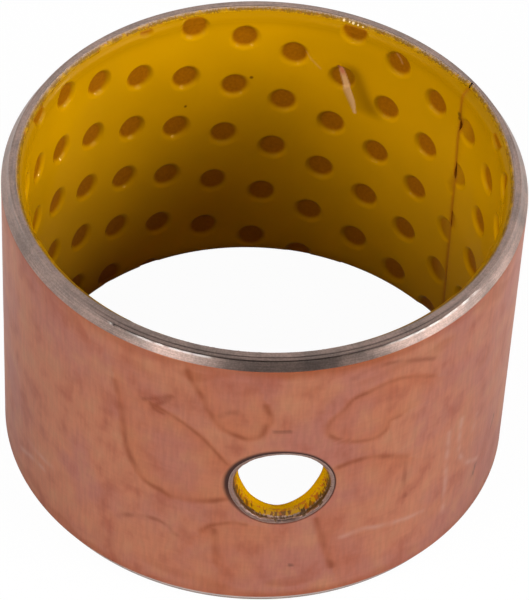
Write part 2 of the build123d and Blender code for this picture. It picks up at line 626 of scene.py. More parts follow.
@dataclass(frozen=True)
class PocketPattern:
    """Rule by which grease pockets are embossed in the flat strip, in millimetres."""

    pocket_diameter: float = 2.4
    pocket_depth: float = 0.37
    rolled_edge: float = 0.27
    seam_reach: float = 2.3
    floor_skin: float = 0.05
    first_round: float = 1.25
    first_up: float = 7.05
    row_round: float = 4.445
    row_up: float = 1.70
    column_back: float = 0.765
    column_up: float = 5.717
    creep_from: float = 52.0
    creep_to: float = 112.0
    creep_round: float = -0.38
    creep_up: float = 1.53
    unevenness: float = 0.04
    columns: int = 42
    rows: int = 24
    first_column: int = -6
    first_row: int = -18
    seed: int = 7

    def places(self, strip: Strip) -> np.ndarray:
        """Centres of the pockets by the same rule, before the unevenness.

        Args:
            strip: Sizes of the strip.

        Returns:
            Centres as rows of (round, up).
        """
        column, row = np.meshgrid(
            np.arange(self.columns) + self.first_column, np.arange(self.rows) + self.first_row, indexing="ij"
        )
        across = self.first_round + column * self.row_round - row * self.column_back
        up = self.first_up + column * self.row_up + row * self.column_up
        crept = np.clip((across - self.creep_from) / (self.creep_to - self.creep_from), 0, 1)
        spots = np.column_stack([(across + crept * self.creep_round).ravel(), (up + crept * self.creep_up).ravel()])
        middle = (strip.length / 2, strip.height / 2)
        return spots[(abs(spots - middle) < middle).all(axis=1)]

    def dots(self, strip: Strip, rings: list[float], sides: int, mesh: float, edge: float) -> np.ndarray:
        """Points of the bore side: rings round each pocket, and an even mesh between them.

        Args:
            strip: Sizes of the strip.
            rings: Radii of the rings.
            sides: Points of a ring.
            mesh: Distance between the points elsewhere.
            edge: Distance that all of them keep from the strip's ends.

        Returns:
            Points as rows of (round, up).
        """
        centres = self.places(strip)
        turns = np.arange(sides) * math.tau / sides
        found = [centres]
        for number, radius in enumerate(rings):
            around = turns + (number % 2) * math.pi / sides
            ring = radius * np.column_stack([np.cos(around), np.sin(around)])
            found.append((centres[:, None] + ring[None]).reshape(-1, 2))
        across, up = np.meshgrid(
            np.arange(0, strip.length, mesh), np.arange(0, strip.height, mesh * 0.87), indexing="ij"
        )
        across[:, ::2] += mesh / 2
        even = np.column_stack([across.ravel(), up.ravel()])
        gap = np.full(len(even), np.inf)
        for centre in centres:
            gap = np.minimum(gap, np.hypot(*(even - centre).T))
        found.append(even[gap > rings[-1] + 0.6 * mesh])
        dots = np.concatenate(found)
        low, high = edge, strip.height - edge
        side = strip.seam_gap / 2 + 0.32
        kept = (dots[:, 1] > low) & (dots[:, 1] < high) & (dots[:, 0] > side) & (dots[:, 0] < strip.length - side)
        kept &= strip.hole_plane(np.column_stack([dots, np.zeros(len(dots))]))[0] > strip.hole + 0.04
        return dots[kept]

    def tree(self, strip: Strip) -> Tree:
        """Tree that embosses the pockets in a flat layer and marks them for the finish.

        Args:
            strip: Sizes of the strip.

        Returns:
            The tree, whose inputs are named after the rule's sizes.
        """
        hole = {"hole_round": strip.hole_round, "hole_up": strip.hole_up, "hole_radius": strip.hole}
        rule = {**vars(self), **hole, "strip_length": strip.length}
        numbers = {name: size * MM if isinstance(size, float) else size for name, size in rule.items()}
        tree = Tree("Emboss pockets", {name.replace("_", " ").title(): number for name, number in numbers.items()})
        given, add = tree.given, tree.add
        total = add("ShaderNodeMath", (given["Columns"], given["Rows"]), operation="MULTIPLY")
        index = add("GeometryNodeInputIndex")
        share = add("ShaderNodeMath", (index, given["Columns"]), operation="DIVIDE")
        whole = add("ShaderNodeMath", (share,), operation="FLOOR")
        used = add("ShaderNodeMath", (whole, given["Columns"]), operation="MULTIPLY")
        rest = add("ShaderNodeMath", (index, used), operation="SUBTRACT")
        column = add("ShaderNodeMath", (rest, given["First Column"]), operation="ADD")
        row = add("ShaderNodeMath", (whole, given["First Row"]), operation="ADD")
        back = add("ShaderNodeMath", (row, given["Column Back"]), operation="MULTIPLY")
        start = add("ShaderNodeMath", (given["First Round"], back), operation="SUBTRACT")
        across = add("ShaderNodeMath", (column, given["Row Round"], start), operation="MULTIPLY_ADD")
        rise = add("ShaderNodeMath", (row, given["Column Up"], given["First Up"]), operation="MULTIPLY_ADD")
        up = add("ShaderNodeMath", (column, given["Row Up"], rise), operation="MULTIPLY_ADD")
        limits = {"From Min": given["Creep From"], "From Max": given["Creep To"]}
        crept = add("ShaderNodeMapRange", {"Value": across, **limits})
        across = add("ShaderNodeMath", (crept, given["Creep Round"], across), operation="MULTIPLY_ADD")
        up = add("ShaderNodeMath", (crept, given["Creep Up"], up), operation="MULTIPLY_ADD")
        centre = add("ShaderNodeCombineXYZ", {"X": across, "Y": up})
        less = add("ShaderNodeMath", (given["Unevenness"], -1.0), operation="MULTIPLY")
        stray = add("ShaderNodeCombineXYZ", {"X": given["Unevenness"], "Y": given["Unevenness"]})
        back_stray = add("ShaderNodeCombineXYZ", {"X": less, "Y": less})
        inputs = {"Min": back_stray, "Max": stray, "ID": index, "Seed": given["Seed"]}
        shift = add("FunctionNodeRandomValue", inputs, out="Value", data_type="FLOAT_VECTOR")
        centre = add("ShaderNodeVectorMath", (centre, shift), operation="ADD")
        punches = add("GeometryNodePoints", {"Count": total, "Position": centre})

        flat = add("GeometryNodeInputPosition")
        over = add("ShaderNodeVectorMath", (flat, (1.0, 1.0, 0.0)), operation="MULTIPLY")
        closest = add("GeometryNodeSampleNearest", (punches, over), domain="POINT")
        inputs = {"Geometry": punches, "Value": flat, "Index": closest}
        middle = add("GeometryNodeSampleIndex", inputs, data_type="FLOAT_VECTOR", domain="POINT")
        away = add("ShaderNodeVectorMath", (over, middle), operation="DISTANCE", out="Value")
        radius = add("ShaderNodeMath", (given["Pocket Diameter"], 0.5), operation="MULTIPLY")
        rim = add("ShaderNodeMath", (radius, given["Rolled Edge"]), operation="ADD")
        floor = add("ShaderNodeMath", (radius, given["Rolled Edge"]), operation="SUBTRACT")
        inputs = {"Value": away, "From Min": floor, "From Max": rim, "To Min": 1.0, "To Max": 0.0}
        dish = add("ShaderNodeMapRange", inputs, interpolation_type="SMOOTHSTEP")
        inputs = {2: 0.9, 3: 1.0, "ID": closest, "Seed": given["Seed"]}
        press = add("FunctionNodeRandomValue", inputs, out=1, data_type="FLOAT")
        # The drill's burr has closed the pockets that it cut, so that the hole's edge is clean.
        drill = add("ShaderNodeCombineXYZ", {"X": given["Hole Round"], "Y": given["Hole Up"]})
        beside = add("ShaderNodeVectorMath", (over, drill), operation="DISTANCE", out="Value")
        wide = add("ShaderNodeMath", (given["Hole Radius"], given["Rolled Edge"]), operation="ADD")
        far = add("ShaderNodeMath", (given["Rolled Edge"], 3.0, wide), operation="MULTIPLY_ADD")
        inputs = {"Value": beside, "From Min": wide, "From Max": far}
        clear = add("ShaderNodeMapRange", inputs, interpolation_type="SMOOTHSTEP")
        # The pockets are fainter beside the seam, where the strip's ends sprang back from the punch.
        place = add("ShaderNodeSeparateXYZ", (flat,)).node.outputs
        before = add("ShaderNodeMath", (given["Strip Length"], place["X"]), operation="SUBTRACT")
        from_seam = add("ShaderNodeMath", (before, place["X"]), operation="MINIMUM")
        inputs = {"Value": from_seam, "From Max": given["Seam Reach"], "To Min": 0.45}
        firm = add("ShaderNodeMapRange", inputs, interpolation_type="SMOOTHSTEP")
        clear = add("ShaderNodeMath", (clear, firm), operation="MULTIPLY")
        deep = dish
        for share in (press, given["Pocket Depth"], clear):
            deep = add("ShaderNodeMath", (deep, share), operation="MULTIPLY")
        skin = add("ShaderNodeMath", (deep, given["Floor Skin"]), operation="ADD")
        pressed = add("ShaderNodeMath", (skin, place["Z"]), operation="GREATER_THAN")
        shoulder = add("ShaderNodeMath", (given["Rolled Edge"], 0.3, radius), operation="MULTIPLY_ADD")
        inputs = {"Value": away, "From Min": floor, "From Max": shoulder, "To Min": 1.0, "To Max": 0.0}
        mark = add("ShaderNodeMapRange", inputs, interpolation_type="SMOOTHSTEP")
        for share in (clear, pressed):
            mark = add("ShaderNodeMath", (mark, share), operation="MULTIPLY")
        inputs = {"Geometry": given["Geometry"], "Name": "pocket", "Value": mark}
        marked = add("GeometryNodeStoreNamedAttribute", inputs, data_type="FLOAT", domain="POINT")
        lower = add("ShaderNodeMath", (deep, place["Z"]), operation="MAXIMUM")
        there = add("ShaderNodeCombineXYZ", {"X": place["X"], "Y": place["Y"], "Z": lower})
        tree.close(add("GeometryNodeSetPosition", {"Geometry": marked, "Position": there}))
        return tree


# ---------------------------- finishes


class Paint:
    """A material's node tree while it is being made, to which add adds a node."""

    def __init__(self, name: str) -> None:
        """Starts a material with nothing but its surface shader.

        Args:
            name: Name of the material.
        """
        self.material = bpy.data.materials.new(name)
        self.material.use_nodes = True
        self.tree = self.material.node_tree
        self.tree.nodes.clear()
        self.add = partial(add_node, self.tree)
        surface = self.add("ShaderNodeBsdfPrincipled")
        self.shader = surface.node
        self.add("ShaderNodeOutputMaterial", {"Surface": surface})

    def mix(self, factor: bpy.types.NodeSocket, first: object, second: object) -> bpy.types.NodeSocket:
        """Mixes two colours.

        Args:
            factor: Share of the second colour.
            first: Colour as #RRGGBB or as a socket.
            second: The other colour.

        Returns:
            The mixed colour.
        """
        first, second = (linear(tint) if isinstance(tint, str) else tint for tint in (first, second))
        inputs = {"Factor": factor, "A": first, "B": second}
        return self.add("ShaderNodeMix", inputs, out="Result", data_type="RGBA")

    def ramp(
        self, value: bpy.types.NodeSocket, low: float, high: float, at_low: float = 0.0, at_high: float = 1.0
    ) -> bpy.types.NodeSocket:
        """Turns a number into another by a soft step.

        Args:
            value: The number.
            low: Where the step begins.
            high: Where it ends.
            at_low: Result up to the beginning.
            at_high: Result from the end.

        Returns:
            The result.
        """
        inputs = {"Value": value, "From Min": low, "From Max": high, "To Min": at_low, "To Max": at_high}
        return self.add("ShaderNodeMapRange", inputs, interpolation_type="SMOOTHSTEP")

    def dots(
        self,
        colour: bpy.types.NodeSocket,
        tint: str,
        spots: tuple[tuple[float, float, float], ...],
        edge: tuple[float, float],
    ) -> bpy.types.NodeSocket:
        """Lays soft dots over a colour.

        Args:
            colour: What lies under them.
            tint: Their colour as #RRGGBB.
            spots: Places on the flat strip as (round, up, radius), in millimetres.
            edge: Where a dot's edge begins and ends, in parts of its radius.

        Returns:
            The dotted colour.
        """
        strip = self.add("ShaderNodeAttribute", attribute_name="strip", out="Vector")
        flat = self.add("ShaderNodeVectorMath", (strip, (1.0, 1.0, 0.0)), operation="MULTIPLY")
        for across, up, radius in spots:
            inputs = (flat, (across * MM, up * MM, 0.0))
            away = self.add("ShaderNodeVectorMath", inputs, operation="DISTANCE", out="Value")
            low, high = (part * radius * MM for part in edge)
            colour = self.mix(self.ramp(away, low, high, 1.0, 0.0), colour, tint)
        return colour

    def feed(self, **inputs: object) -> None:
        """Sets or links inputs of the surface shader, with _ for a space in their names."""
        for name, value in inputs.items():
            socket = self.shader.inputs[name.replace("_", " ")]
            if isinstance(value, bpy.types.NodeSocket):
                self.tree.links.new(value, socket)
            else:
                socket.default_value = value


@dataclass(frozen=True)
class CalenderedAcetal:
    """Acetal copolymer, calendered on and embossed: a glossy yellow plastic, brown where it is pressed thin."""

    skin: str = "#B88500"
    pressed: str = "#9A5E03"
    pressed_rim: str = "#7E4803"
    turned: str = "#A47500"
    bruised: str = "#7E5400"
    torn: str = "#C79A66"
    bare: str = "#B86E4E"
    dirt: str = "#6E4606"
    slit: str = "#9A5F0A"
    gloss: str = "#FFD480"
    roughness: float = 0.13
    peel: float = 0.35
    specks: tuple[tuple[float, float, float], ...] = (
        (21.18, 22.23, 0.12), (27.08, 19.57, 0.1), (0.25, 26.9, 0.17), (0.2, 26.5, 0.14),
    )  # fmt: skip

    def material(self) -> bpy.types.Material:
        """Makes the material.

        Returns:
            The material.
        """
        paint = Paint("calendered acetal")
        add, mix, ramp = paint.add, paint.mix, paint.ramp
        place = add("ShaderNodeTexCoord", out="Object")
        pocket, turned, bruise, scar, bare, slit = (
            add("ShaderNodeAttribute", attribute_name=name, out="Fac")
            for name in ("pocket", "turned", "bruise", "scar", "bare", "slit")
        )
        # Bronze powder of about 0.15 mm shows faintly through the thin floor of a pocket.
        grain = add("ShaderNodeTexNoise", {"Vector": place, "Scale": 1 / (0.25 * MM), "Detail": 1.0})
        floor = mix(grain, self.pressed_rim, self.pressed)
        cloud = add("ShaderNodeTexNoise", {"Vector": place, "Scale": 1 / (7 * MM), "Detail": 2.0})
        shade = ramp(cloud, 0.3, 0.7, 0.95, 1.04)
        colour = add("ShaderNodeHueSaturation", {"Value": shade, "Color": linear(self.skin)})
        # The dent beside the gouge is darker, as pressed plastic over bronze and as painted shade.
        faint = add("ShaderNodeMath", (bruise, 0.7), operation="MULTIPLY")
        for mark, tint in ((turned, self.turned), (pocket, floor), (faint, self.bruised), (scar, self.torn)):
            colour = mix(mark, colour, tint)
        # Painted shade of the nearly closed seam gap, as a thin brown line.
        colour = mix(slit, mix(bare, colour, self.bare), self.slit)
        colour = paint.dots(colour, self.dirt, self.specks, (0.7, 2.0))
        peel = add("ShaderNodeTexNoise", {"Vector": place, "Scale": 1 / (self.peel * MM)})
        bump = add("ShaderNodeBump", {"Height": peel, "Distance": 0.006 * MM, "Strength": 0.5})
        dull = add("ShaderNodeMath", (scar, turned), operation="MAXIMUM")
        rough = ramp(dull, 0.0, 1.0, self.roughness, 0.3)
        paint.feed(Base_Color=colour, Roughness=rough, Normal=bump, Specular_IOR_Level=0.22)
        paint.feed(Specular_Tint=linear(self.gloss))
        return paint.material


@dataclass(frozen=True)
class FilledSinteredBronze:
    """Sintered tin bronze whose pores the acetal fills: yellow, with orange specks and dark teeth at the steel."""

    filling: str = "#B48504"
    powder: str = "#A5641A"
    root: str = "#6E4E12"
    metal: str = "#A28B79"
    spark: str = "#E6CC9C"
    powder_size: float = 0.18
    tooth: float = 0.15
    sparks: tuple[tuple[float, float, float], ...] = (
        (13.45, 29.78, 0.1), (12.95, 29.76, 0.07), (12.6, 29.74, 0.11), (12.16, 29.7, 0.08), (11.7, 29.68, 0.06),
    )  # fmt: skip

    def material(self) -> bpy.types.Material:
        """Makes the material.

        Returns:
            The material.
        """
        paint = Paint("acetal-filled sintered bronze")
        add, mix, ramp = paint.add, paint.mix, paint.ramp
        place = add("ShaderNodeTexCoord", out="Object")
        turned, depth = (add("ShaderNodeAttribute", attribute_name=name, out="Fac") for name in ("turned", "depth"))
        ball = add("ShaderNodeTexVoronoi", {"Vector": place, "Scale": 1 / (self.powder_size * MM)}, out="Color")
        pick = add("ShaderNodeSeparateColor", (ball,)).node.outputs
        few = ramp(turned, 0.0, 1.0, 0.62, 0.93)
        speck = add("ShaderNodeMath", (pick[0], few), operation="GREATER_THAN")
        colour = mix(speck, self.filling, self.powder)
        # Teeth of 0.15 mm, where the lathe has torn the plastic out of the powder, now here and now there.
        ragged = add("ShaderNodeTexNoise", {"Vector": place, "Scale": 1 / (self.tooth * MM), "Detail": 1.0})
        raw = ramp(turned, 0.0, 1.0, 1.0, 0.0)
        pit = add("ShaderNodeMath", (ramp(ragged, 0.6, 0.68, 0.0, 0.6), raw), operation="MULTIPLY")
        colour = mix(pit, colour, self.root)
        shift = add("ShaderNodeMath", (ragged, 0.34, depth), operation="MULTIPLY_ADD")
        patch = add("ShaderNodeTexNoise", {"Vector": place, "Scale": 1 / (1.3 * MM), "Detail": 2.0})
        some = add("ShaderNodeMath", (ramp(patch, 0.3, 0.55), turned), operation="MULTIPLY")
        dark = add("ShaderNodeMath", (ramp(shift, 0.63, 0.74, 0.0, 0.85), some), operation="MULTIPLY")
        colour = mix(dark, colour, self.root)
        bright = ramp(shift, 0.78, 0.98)
        bright = add("ShaderNodeMath", (bright, turned), operation="MULTIPLY")
        colour = mix(bright, colour, self.metal)
        # Painted highlights: small pale glints along the upper edge, laid into the colour.
        colour = paint.dots(colour, self.spark, self.sparks, (0.6, 1.3))
        paint.feed(Base_Color=colour, Roughness=0.42, Specular_IOR_Level=0.15)
        return paint.material


@dataclass(frozen=True)
class TurnedSteel:
    """Low-carbon steel, turned and drilled: satin grey, with tool lines round the ends and chatter in the hole."""

    metal: str = "#CCAEA2"
    dull: str = "#AB968D"
    polish: str = "#FAF0EA"
    groove: str = "#1E1715"
    blush: str = "#BE9080"
    smear: str = "#A97C00"
    powder: str = "#98520A"
    char: str = "#6B430A"
    soot: str = "#4A3014"
    tool_pitch: float = 0.07
    roughness: float = 0.32

    def material(self) -> bpy.types.Material:
        """Makes the material.

        Returns:
            The material.
        """
        paint = Paint("turned low-carbon steel")
        add, mix, ramp = paint.add, paint.mix, paint.ramp
        place = add("ShaderNodeTexCoord", out="Object")
        crease, smear, soot, burr, shine = (
            add("ShaderNodeAttribute", attribute_name=name, out="Fac")
            for name in ("crease", "smear", "soot", "burr", "shine")
        )
        split = add("ShaderNodeSeparateXYZ", (place,)).node.outputs
        flat = add("ShaderNodeCombineXYZ", {"X": split["X"], "Y": split["Y"]})
        reach = add("ShaderNodeVectorMath", (flat,), operation="LENGTH", out="Value")
        ray = add("ShaderNodeVectorMath", (flat,), operation="NORMALIZE")
        ray = add("ShaderNodeVectorMath", {0: ray, "Scale": 6.0}, operation="SCALE")
        run = add("ShaderNodeMath", (reach, split["Z"]), operation="SUBTRACT")
        line = add("ShaderNodeMath", (run, 1 / (self.tool_pitch * MM)), operation="MULTIPLY")
        lift = add("ShaderNodeCombineXYZ", {"Z": line})
        lathe = add("ShaderNodeVectorMath", (ray, lift), operation="ADD")
        cut = add("ShaderNodeTexNoise", {"Vector": lathe, "Scale": 1.0, "Detail": 3.0})
        cloud = add("ShaderNodeTexNoise", {"Vector": place, "Scale": 1 / (2.2 * MM), "Detail": 2.0})
        both = add("ShaderNodeMath", (cut, cloud), operation="MULTIPLY")
        colour = mix(ramp(both, 0.14, 0.36), self.dull, self.metal)
        # Fine speckle of the cut metal, drawn at 0.16 mm, since the true grain would be too fine to see.
        fine = add("ShaderNodeTexNoise", {"Vector": place, "Scale": 1 / (0.16 * MM), "Detail": 2.0})
        shade = ramp(fine, 0.3, 0.7, 0.86, 1.1)
        colour = add("ShaderNodeHueSaturation", {"Value": shade, "Color": colour})
        colour = mix(burr, colour, self.blush)
        # Painted shade in the groove, at the corners and facets of the end faces, in the nick and round the hole's
        # burr.
        colour = mix(crease, colour, self.groove)
        # Painted highlight along the lip beside the groove and at the nick.
        colour = mix(shine, colour, self.polish)
        # The drill has smeared acetal and bronze powder over the steel, ragged in streaks of 0.2 mm.
        inputs = {"Vector": place, "Scale": (1 / (0.2 * MM), 1 / (0.55 * MM), 1 / (0.2 * MM))}
        bored = add("ShaderNodeMapping", inputs)
        grain = add("ShaderNodeTexNoise", {"Vector": bored, "Scale": 1.0, "Detail": 3.0})
        torn = add("ShaderNodeMath", (grain, 1.7, smear), operation="MULTIPLY_ADD")
        yellow = ramp(torn, 1.25, 1.4)
        ball = add("ShaderNodeTexVoronoi", {"Vector": bored, "Scale": 0.9}, out="Color")
        pick = add("ShaderNodeSeparateColor", (ball,)).node.outputs
        film = mix(ramp(pick[0], 0.52, 0.6), self.smear, self.powder)
        film = mix(ramp(pick[1], 0.7, 0.78), film, self.char)
        colour = mix(yellow, colour, film)
        # Darker streaks and a darker band down the hole's wall.
        black = add("ShaderNodeMath", (grain, 1.4, soot), operation="MULTIPLY_ADD")
        black = ramp(black, 1.05, 1.35)
        colour = mix(black, colour, self.soot)
        coated = add("ShaderNodeMath", (yellow, black), operation="MAXIMUM")
        metallic = ramp(coated, 0.0, 1.0, 1.0, 0.0)
        rough = ramp(cloud, 0.2, 0.8, self.roughness - 0.03, self.roughness + 0.05)
        rough = add("ShaderNodeMath", (burr, 0.2, rough), operation="MULTIPLY_ADD")
        relief = add("ShaderNodeMath", (cut, fine), operation="ADD")
        bump = add("ShaderNodeBump", {"Height": relief, "Distance": 0.006 * MM, "Strength": 0.6})
        paint.feed(Base_Color=colour, Metallic=metallic, Roughness=rough, Normal=bump)
        return paint.material


@dataclass(frozen=True)
class CopperFlash:
    """Electroplated copper flash, handled and dried: matt salmon, with tide marks, blotches and a fine rolled grain."""

    clean: str = "#D68866"
    mauve: str = "#CB806C"
    warm: str = "#D2774B"
    red: str = "#BD664C"
    tan: str = "#D79670"
    scuffed: str = "#DDA894"
    tide: str = "#99492C"
    rim: str = "#B95F36"
    burnt: str = "#4A2A22"
    roughness: float = 0.46

    def material(self) -> bpy.types.Material:
        """Makes the material.

        Returns:
            The material.
        """
        paint = Paint("electroplated copper flash")
        add, mix, ramp = paint.add, paint.mix, paint.ramp
        strip = add("ShaderNodeAttribute", attribute_name="strip", out="Vector")
        place = add("ShaderNodeTexCoord", out="Object")
        warm, stain, rim, burnt, pale = (
            add("ShaderNodeAttribute", attribute_name=name, out="Fac")
            for name in ("warm", "stain", "rim", "burnt", "pale")
        )
        cloud = add("ShaderNodeTexNoise", {"Vector": place, "Scale": 1 / (7 * MM), "Detail": 4.0})
        colour = mix(ramp(cloud, 0.4, 0.62), self.clean, self.mauve)
        # Blotches, and the grain of the rolled strip, about 0.3 mm wide: long up the bush, and fainter along the strip.
        noises = []
        for across, up in ((2.0, 3.2), (0.3, 2.4), (2.6, 0.3)):
            drawn = add("ShaderNodeMapping", {"Vector": strip, "Scale": (1 / (across * MM), 1 / (up * MM), 1.0)})
            noises.append(add("ShaderNodeTexNoise", {"Vector": drawn, "Scale": 1.0, "Detail": 3.0}))
        blotch, fibre, weft = noises
        colour = mix(ramp(blotch, 0.48, 0.76, 0.0, 0.75), colour, self.red)
        colour = mix(ramp(blotch, 0.26, 0.52, 0.6, 0.0), colour, self.tan)
        # rim: darker, more orange bands along the ends, which at the foot are painted shade from the table.
        for mark, tint in ((warm, self.warm), (stain, self.tide), (rim, self.rim)):
            colour = mix(mark, colour, tint)
        weave = add("ShaderNodeMath", (weft, 0.35, fibre), operation="MULTIPLY_ADD")
        shade = ramp(weave, 0.48, 0.87, 0.95, 1.04)
        colour = add("ShaderNodeHueSaturation", {"Value": shade, "Color": colour})
        colour = mix(pale, colour, self.scuffed)
        colour = mix(burnt, colour, self.burnt)
        bump = add("ShaderNodeBump", {"Height": weave, "Distance": 0.004 * MM, "Strength": 0.5})
        paint.feed(Base_Color=colour, Metallic=0.85, Roughness=self.roughness, Normal=bump)
        paint.feed(Sheen_Weight=0.12, Sheen_Roughness=0.4)
        return paint.material


# ---------------------------- layers


class Slot(Enum):
    """The record's material slots."""

    ACETAL = "acetal"
    BRONZE = "sintered_bronze"
    STEEL = "steel"
    COPPER = "copper"


@dataclass
class Workshop:
    """What every layer needs to become a finished piece."""

    strip: Strip
    roll: Tree

    def finish(
        self,
        node: str,
        layer: FlatLayer,
        marks: dict[str, np.ndarray],
        material: bpy.types.Material,
        slot: Slot,
        sharp: float,
        emboss: Tree | None = None,
    ) -> bpy.types.Object:
        """Turns a flat layer into the rolled piece that stands for a CAD node.

        Args:
            node: The CAD node.
            layer: The flat layer.
            marks: Named numbers for each point.
            material: The finish.
            slot: Not used.
            sharp: Angle in degrees beyond which an edge stays sharp.
            emboss: Tree that works on the flat layer first.

        Returns:
            The piece.
        """
        piece = bpy.data.objects.new(f"{node}_dressed", layer.mesh(node, marks))
        bpy.context.scene.collection.objects.link(piece)
        if emboss:
            emboss.put_on(piece, {"Material": material})
        self.roll.put_on(piece, {"Material": material})
        graph = bpy.context.evaluated_depsgraph_get()
        seen = piece.evaluated_get(graph)
        rolled = bpy.data.meshes.new_from_object(seen, preserve_all_data_layers=True, depsgraph=graph)
        piece.modifiers.clear()
        flat, piece.data = piece.data, rolled
        bpy.data.meshes.remove(flat)
        rolled.name = node
        rolled.materials.clear()
        rolled.materials.append(material)
        rolled.shade_smooth()
        rolled.set_sharp_from_angle(angle=math.radians(sharp))
        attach(piece, "root")
        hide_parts(node)
        LOG.info("%s: %d triangles", piece.name, sum(len(p.vertices) - 2 for p in rolled.polygons))
        return piece


@dataclass
class AcetalLiner:
    """Running surface: 0.5 mm of acetal with its pockets, its wavy seam edges, and a gouge."""

    wall: float = 0.5
    chamfer: float = 0.92
    corner: float = 29.655
    lower_chamfer: float = 1.0
    foot: float = 0.5
    middle: float = 15.0
    edge_rise: float = 14.45
    step: float = 0.25
    rings: tuple[float, ...] = (0.5, 0.85, 0.94, 1.0, 1.06, 1.12, 1.18, 1.24, 1.3, 1.36, 1.42, 1.48, 1.65)
    sides: int = 28
    mesh: float = 0.5
    pattern: PocketPattern = PocketPattern()
    gouge: Chain = ((13.45, 24.8), (13.1, 23.8), (12.65, 22.5), (12.15, 21.35), (11.7, 20.0))
    gouge_half: tuple[float, ...] = (0.13, 0.27, 0.34, 0.3, 0.14)
    worn: Chain = ((12.6, 25.4), (11.9, 23.0), (10.5, 19.7))
    worn_half: float = 1.9
    pushed_up: tuple[float, float] = (10.4, 20.1)
    dent: Chain = ((12.2, 24.8), (11.5, 23.3), (11.0, 22.2), (10.4, 21.1), (9.9, 20.1))
    scrape: Chain = ((16.45, 25.55), (15.85, 24.85), (15.1, 24.1))
    graze: Chain = ((8.2, 28.4), (7.85, 28.05), (7.6, 27.6))
    seam: Chain = (
        (0.0, -0.22), (4.4, -0.2), (6.3, -0.19), (8.8, -0.1), (11.9, -0.09), (15.6, 0.0), (18.6, 0.02), (21.6, 0.1),
        (23.7, 0.2), (24.8, 0.2), (25.5, 0.03), (26.2, -0.06), (26.7, 0.08), (27.3, 0.2), (28.6, 0.22), (29.2, 0.25),
        (29.5, 0.32), (30.0, 0.37),
    )  # fmt: skip

    def build(self, shop: Workshop) -> bpy.types.Object:
        """Makes the liner.

        Args:
            shop: Strip and rolling tree.

        Returns:
            The piece.
        """
        strip = shop.strip
        low, high = strip.patch_rows
        upper = self._bend(strip.height - self.corner, self.chamfer)[::-1]
        upper = [(strip.height - up, depth) for up, depth in upper]
        steps = [0.08, 0.12, 0.1, 0.11, 0.18]
        bore_side = spaced(self._bend(self.foot, self.lower_chamfer) + upper, steps + [self.step] + steps[::-1])
        outside = spaced([(up, self.wall) for up in (self.corner - 0.3, high, low, self.foot + 0.3)], UP_THE_WALL)
        ends = bore_side[(bore_side[:, 1] > 0.03) & (bore_side[:, 1] < self.wall)][:, 0]
        across = np.arange(0.3, strip.length - 0.3, 0.16)
        rows = [np.column_stack([across + 0.08 * (k % 2), np.full(len(across), up)]) for k, up in enumerate(ends)]
        # The mesh is finer round the gouge and the scrapes, and in two columns beside each seam edge.
        spot = net((8.6, 14.6), (18.9, 26.3), 0.13)
        fine = net((7.0, 17.0), (23.5, 28.8), 0.08)
        tall = np.arange(self.chamfer + 0.2, strip.height - self.chamfer - 0.2, 0.125)
        sides = (0.2, 0.32, strip.length - 0.2, strip.length - 0.32)
        beside = [np.column_stack([np.full(len(tall), side), tall]) for side in sides]
        dots = np.concatenate(
            [
                *beside,
                self.pattern.dots(strip, list(self.rings), self.sides, self.mesh, self.chamfer + 0.1),
                spot[abs(from_curve(spot, curved(self.worn))) < self.worn_half],
                *(fine[abs(from_curve(fine, line)) < 0.3] for line in (self.scrape, self.graze)),
                *rows,
            ]
        )
        layer = FlatLayer(
            strip,
            strip.columns([], [0.2] * 3),
            bore_side,
            outside,
            [strip.hole - 0.04],
            [4.3, 4.0],
            [(4.0, 0.4), (3.97, 0.3), (3.94, 0.2), (3.93, 0.1), (3.94, 0.03)],
            dots=dots,
        )
        flat = layer.points
        strip.pull_mouth(flat)
        turned = smooth(abs(flat[:, 1] - strip.hole_up), 12.9, 14.2)
        scar, bare, bruise = self._gouged(flat)
        self._frayed(flat)
        from_seam = strip.length / 2 - strip.seam_gap / 2 - abs(flat[:, 0] - strip.length / 2)
        # Painted shade of the nearly closed seam gap, as a thin brown line along both edges.
        slit = bell(from_seam, 0.17)
        # A darker spot on the seam near the top.
        bruise = np.maximum(bruise, bell(from_seam, 0.2) * bell(flat[:, 1] - 26.6, 0.5))
        self._follow_seam(flat, strip)
        strip.relieve(flat)
        return shop.finish(
            "acetal_liner",
            layer,
            {"scar": scar, "bare": bare, "bruise": bruise, "turned": turned, "slit": 0.95 * slit},
            CalenderedAcetal().material(),
            Slot.ACETAL,
            60,
            self.pattern.tree(strip),
        )

    def _bend(self, foot: float, chamfer: float) -> list[tuple[float, float]]:
        """Corners of a chamfer, a little rounded where it meets the bore, as at the lower end.

        Args:
            foot: Height at which the chamfer leaves the liner.
            chamfer: Height at which it meets the bore.

        Returns:
            Corners as (up, depth), from the end upwards.
        """
        bend = [(foot, self.wall), (foot + 0.1, 0.4), (chamfer - 0.26, 0.195), (chamfer - 0.06, 0.09)]
        return [*bend, (chamfer + 0.16, 0.035), (chamfer + 0.7, 0)]

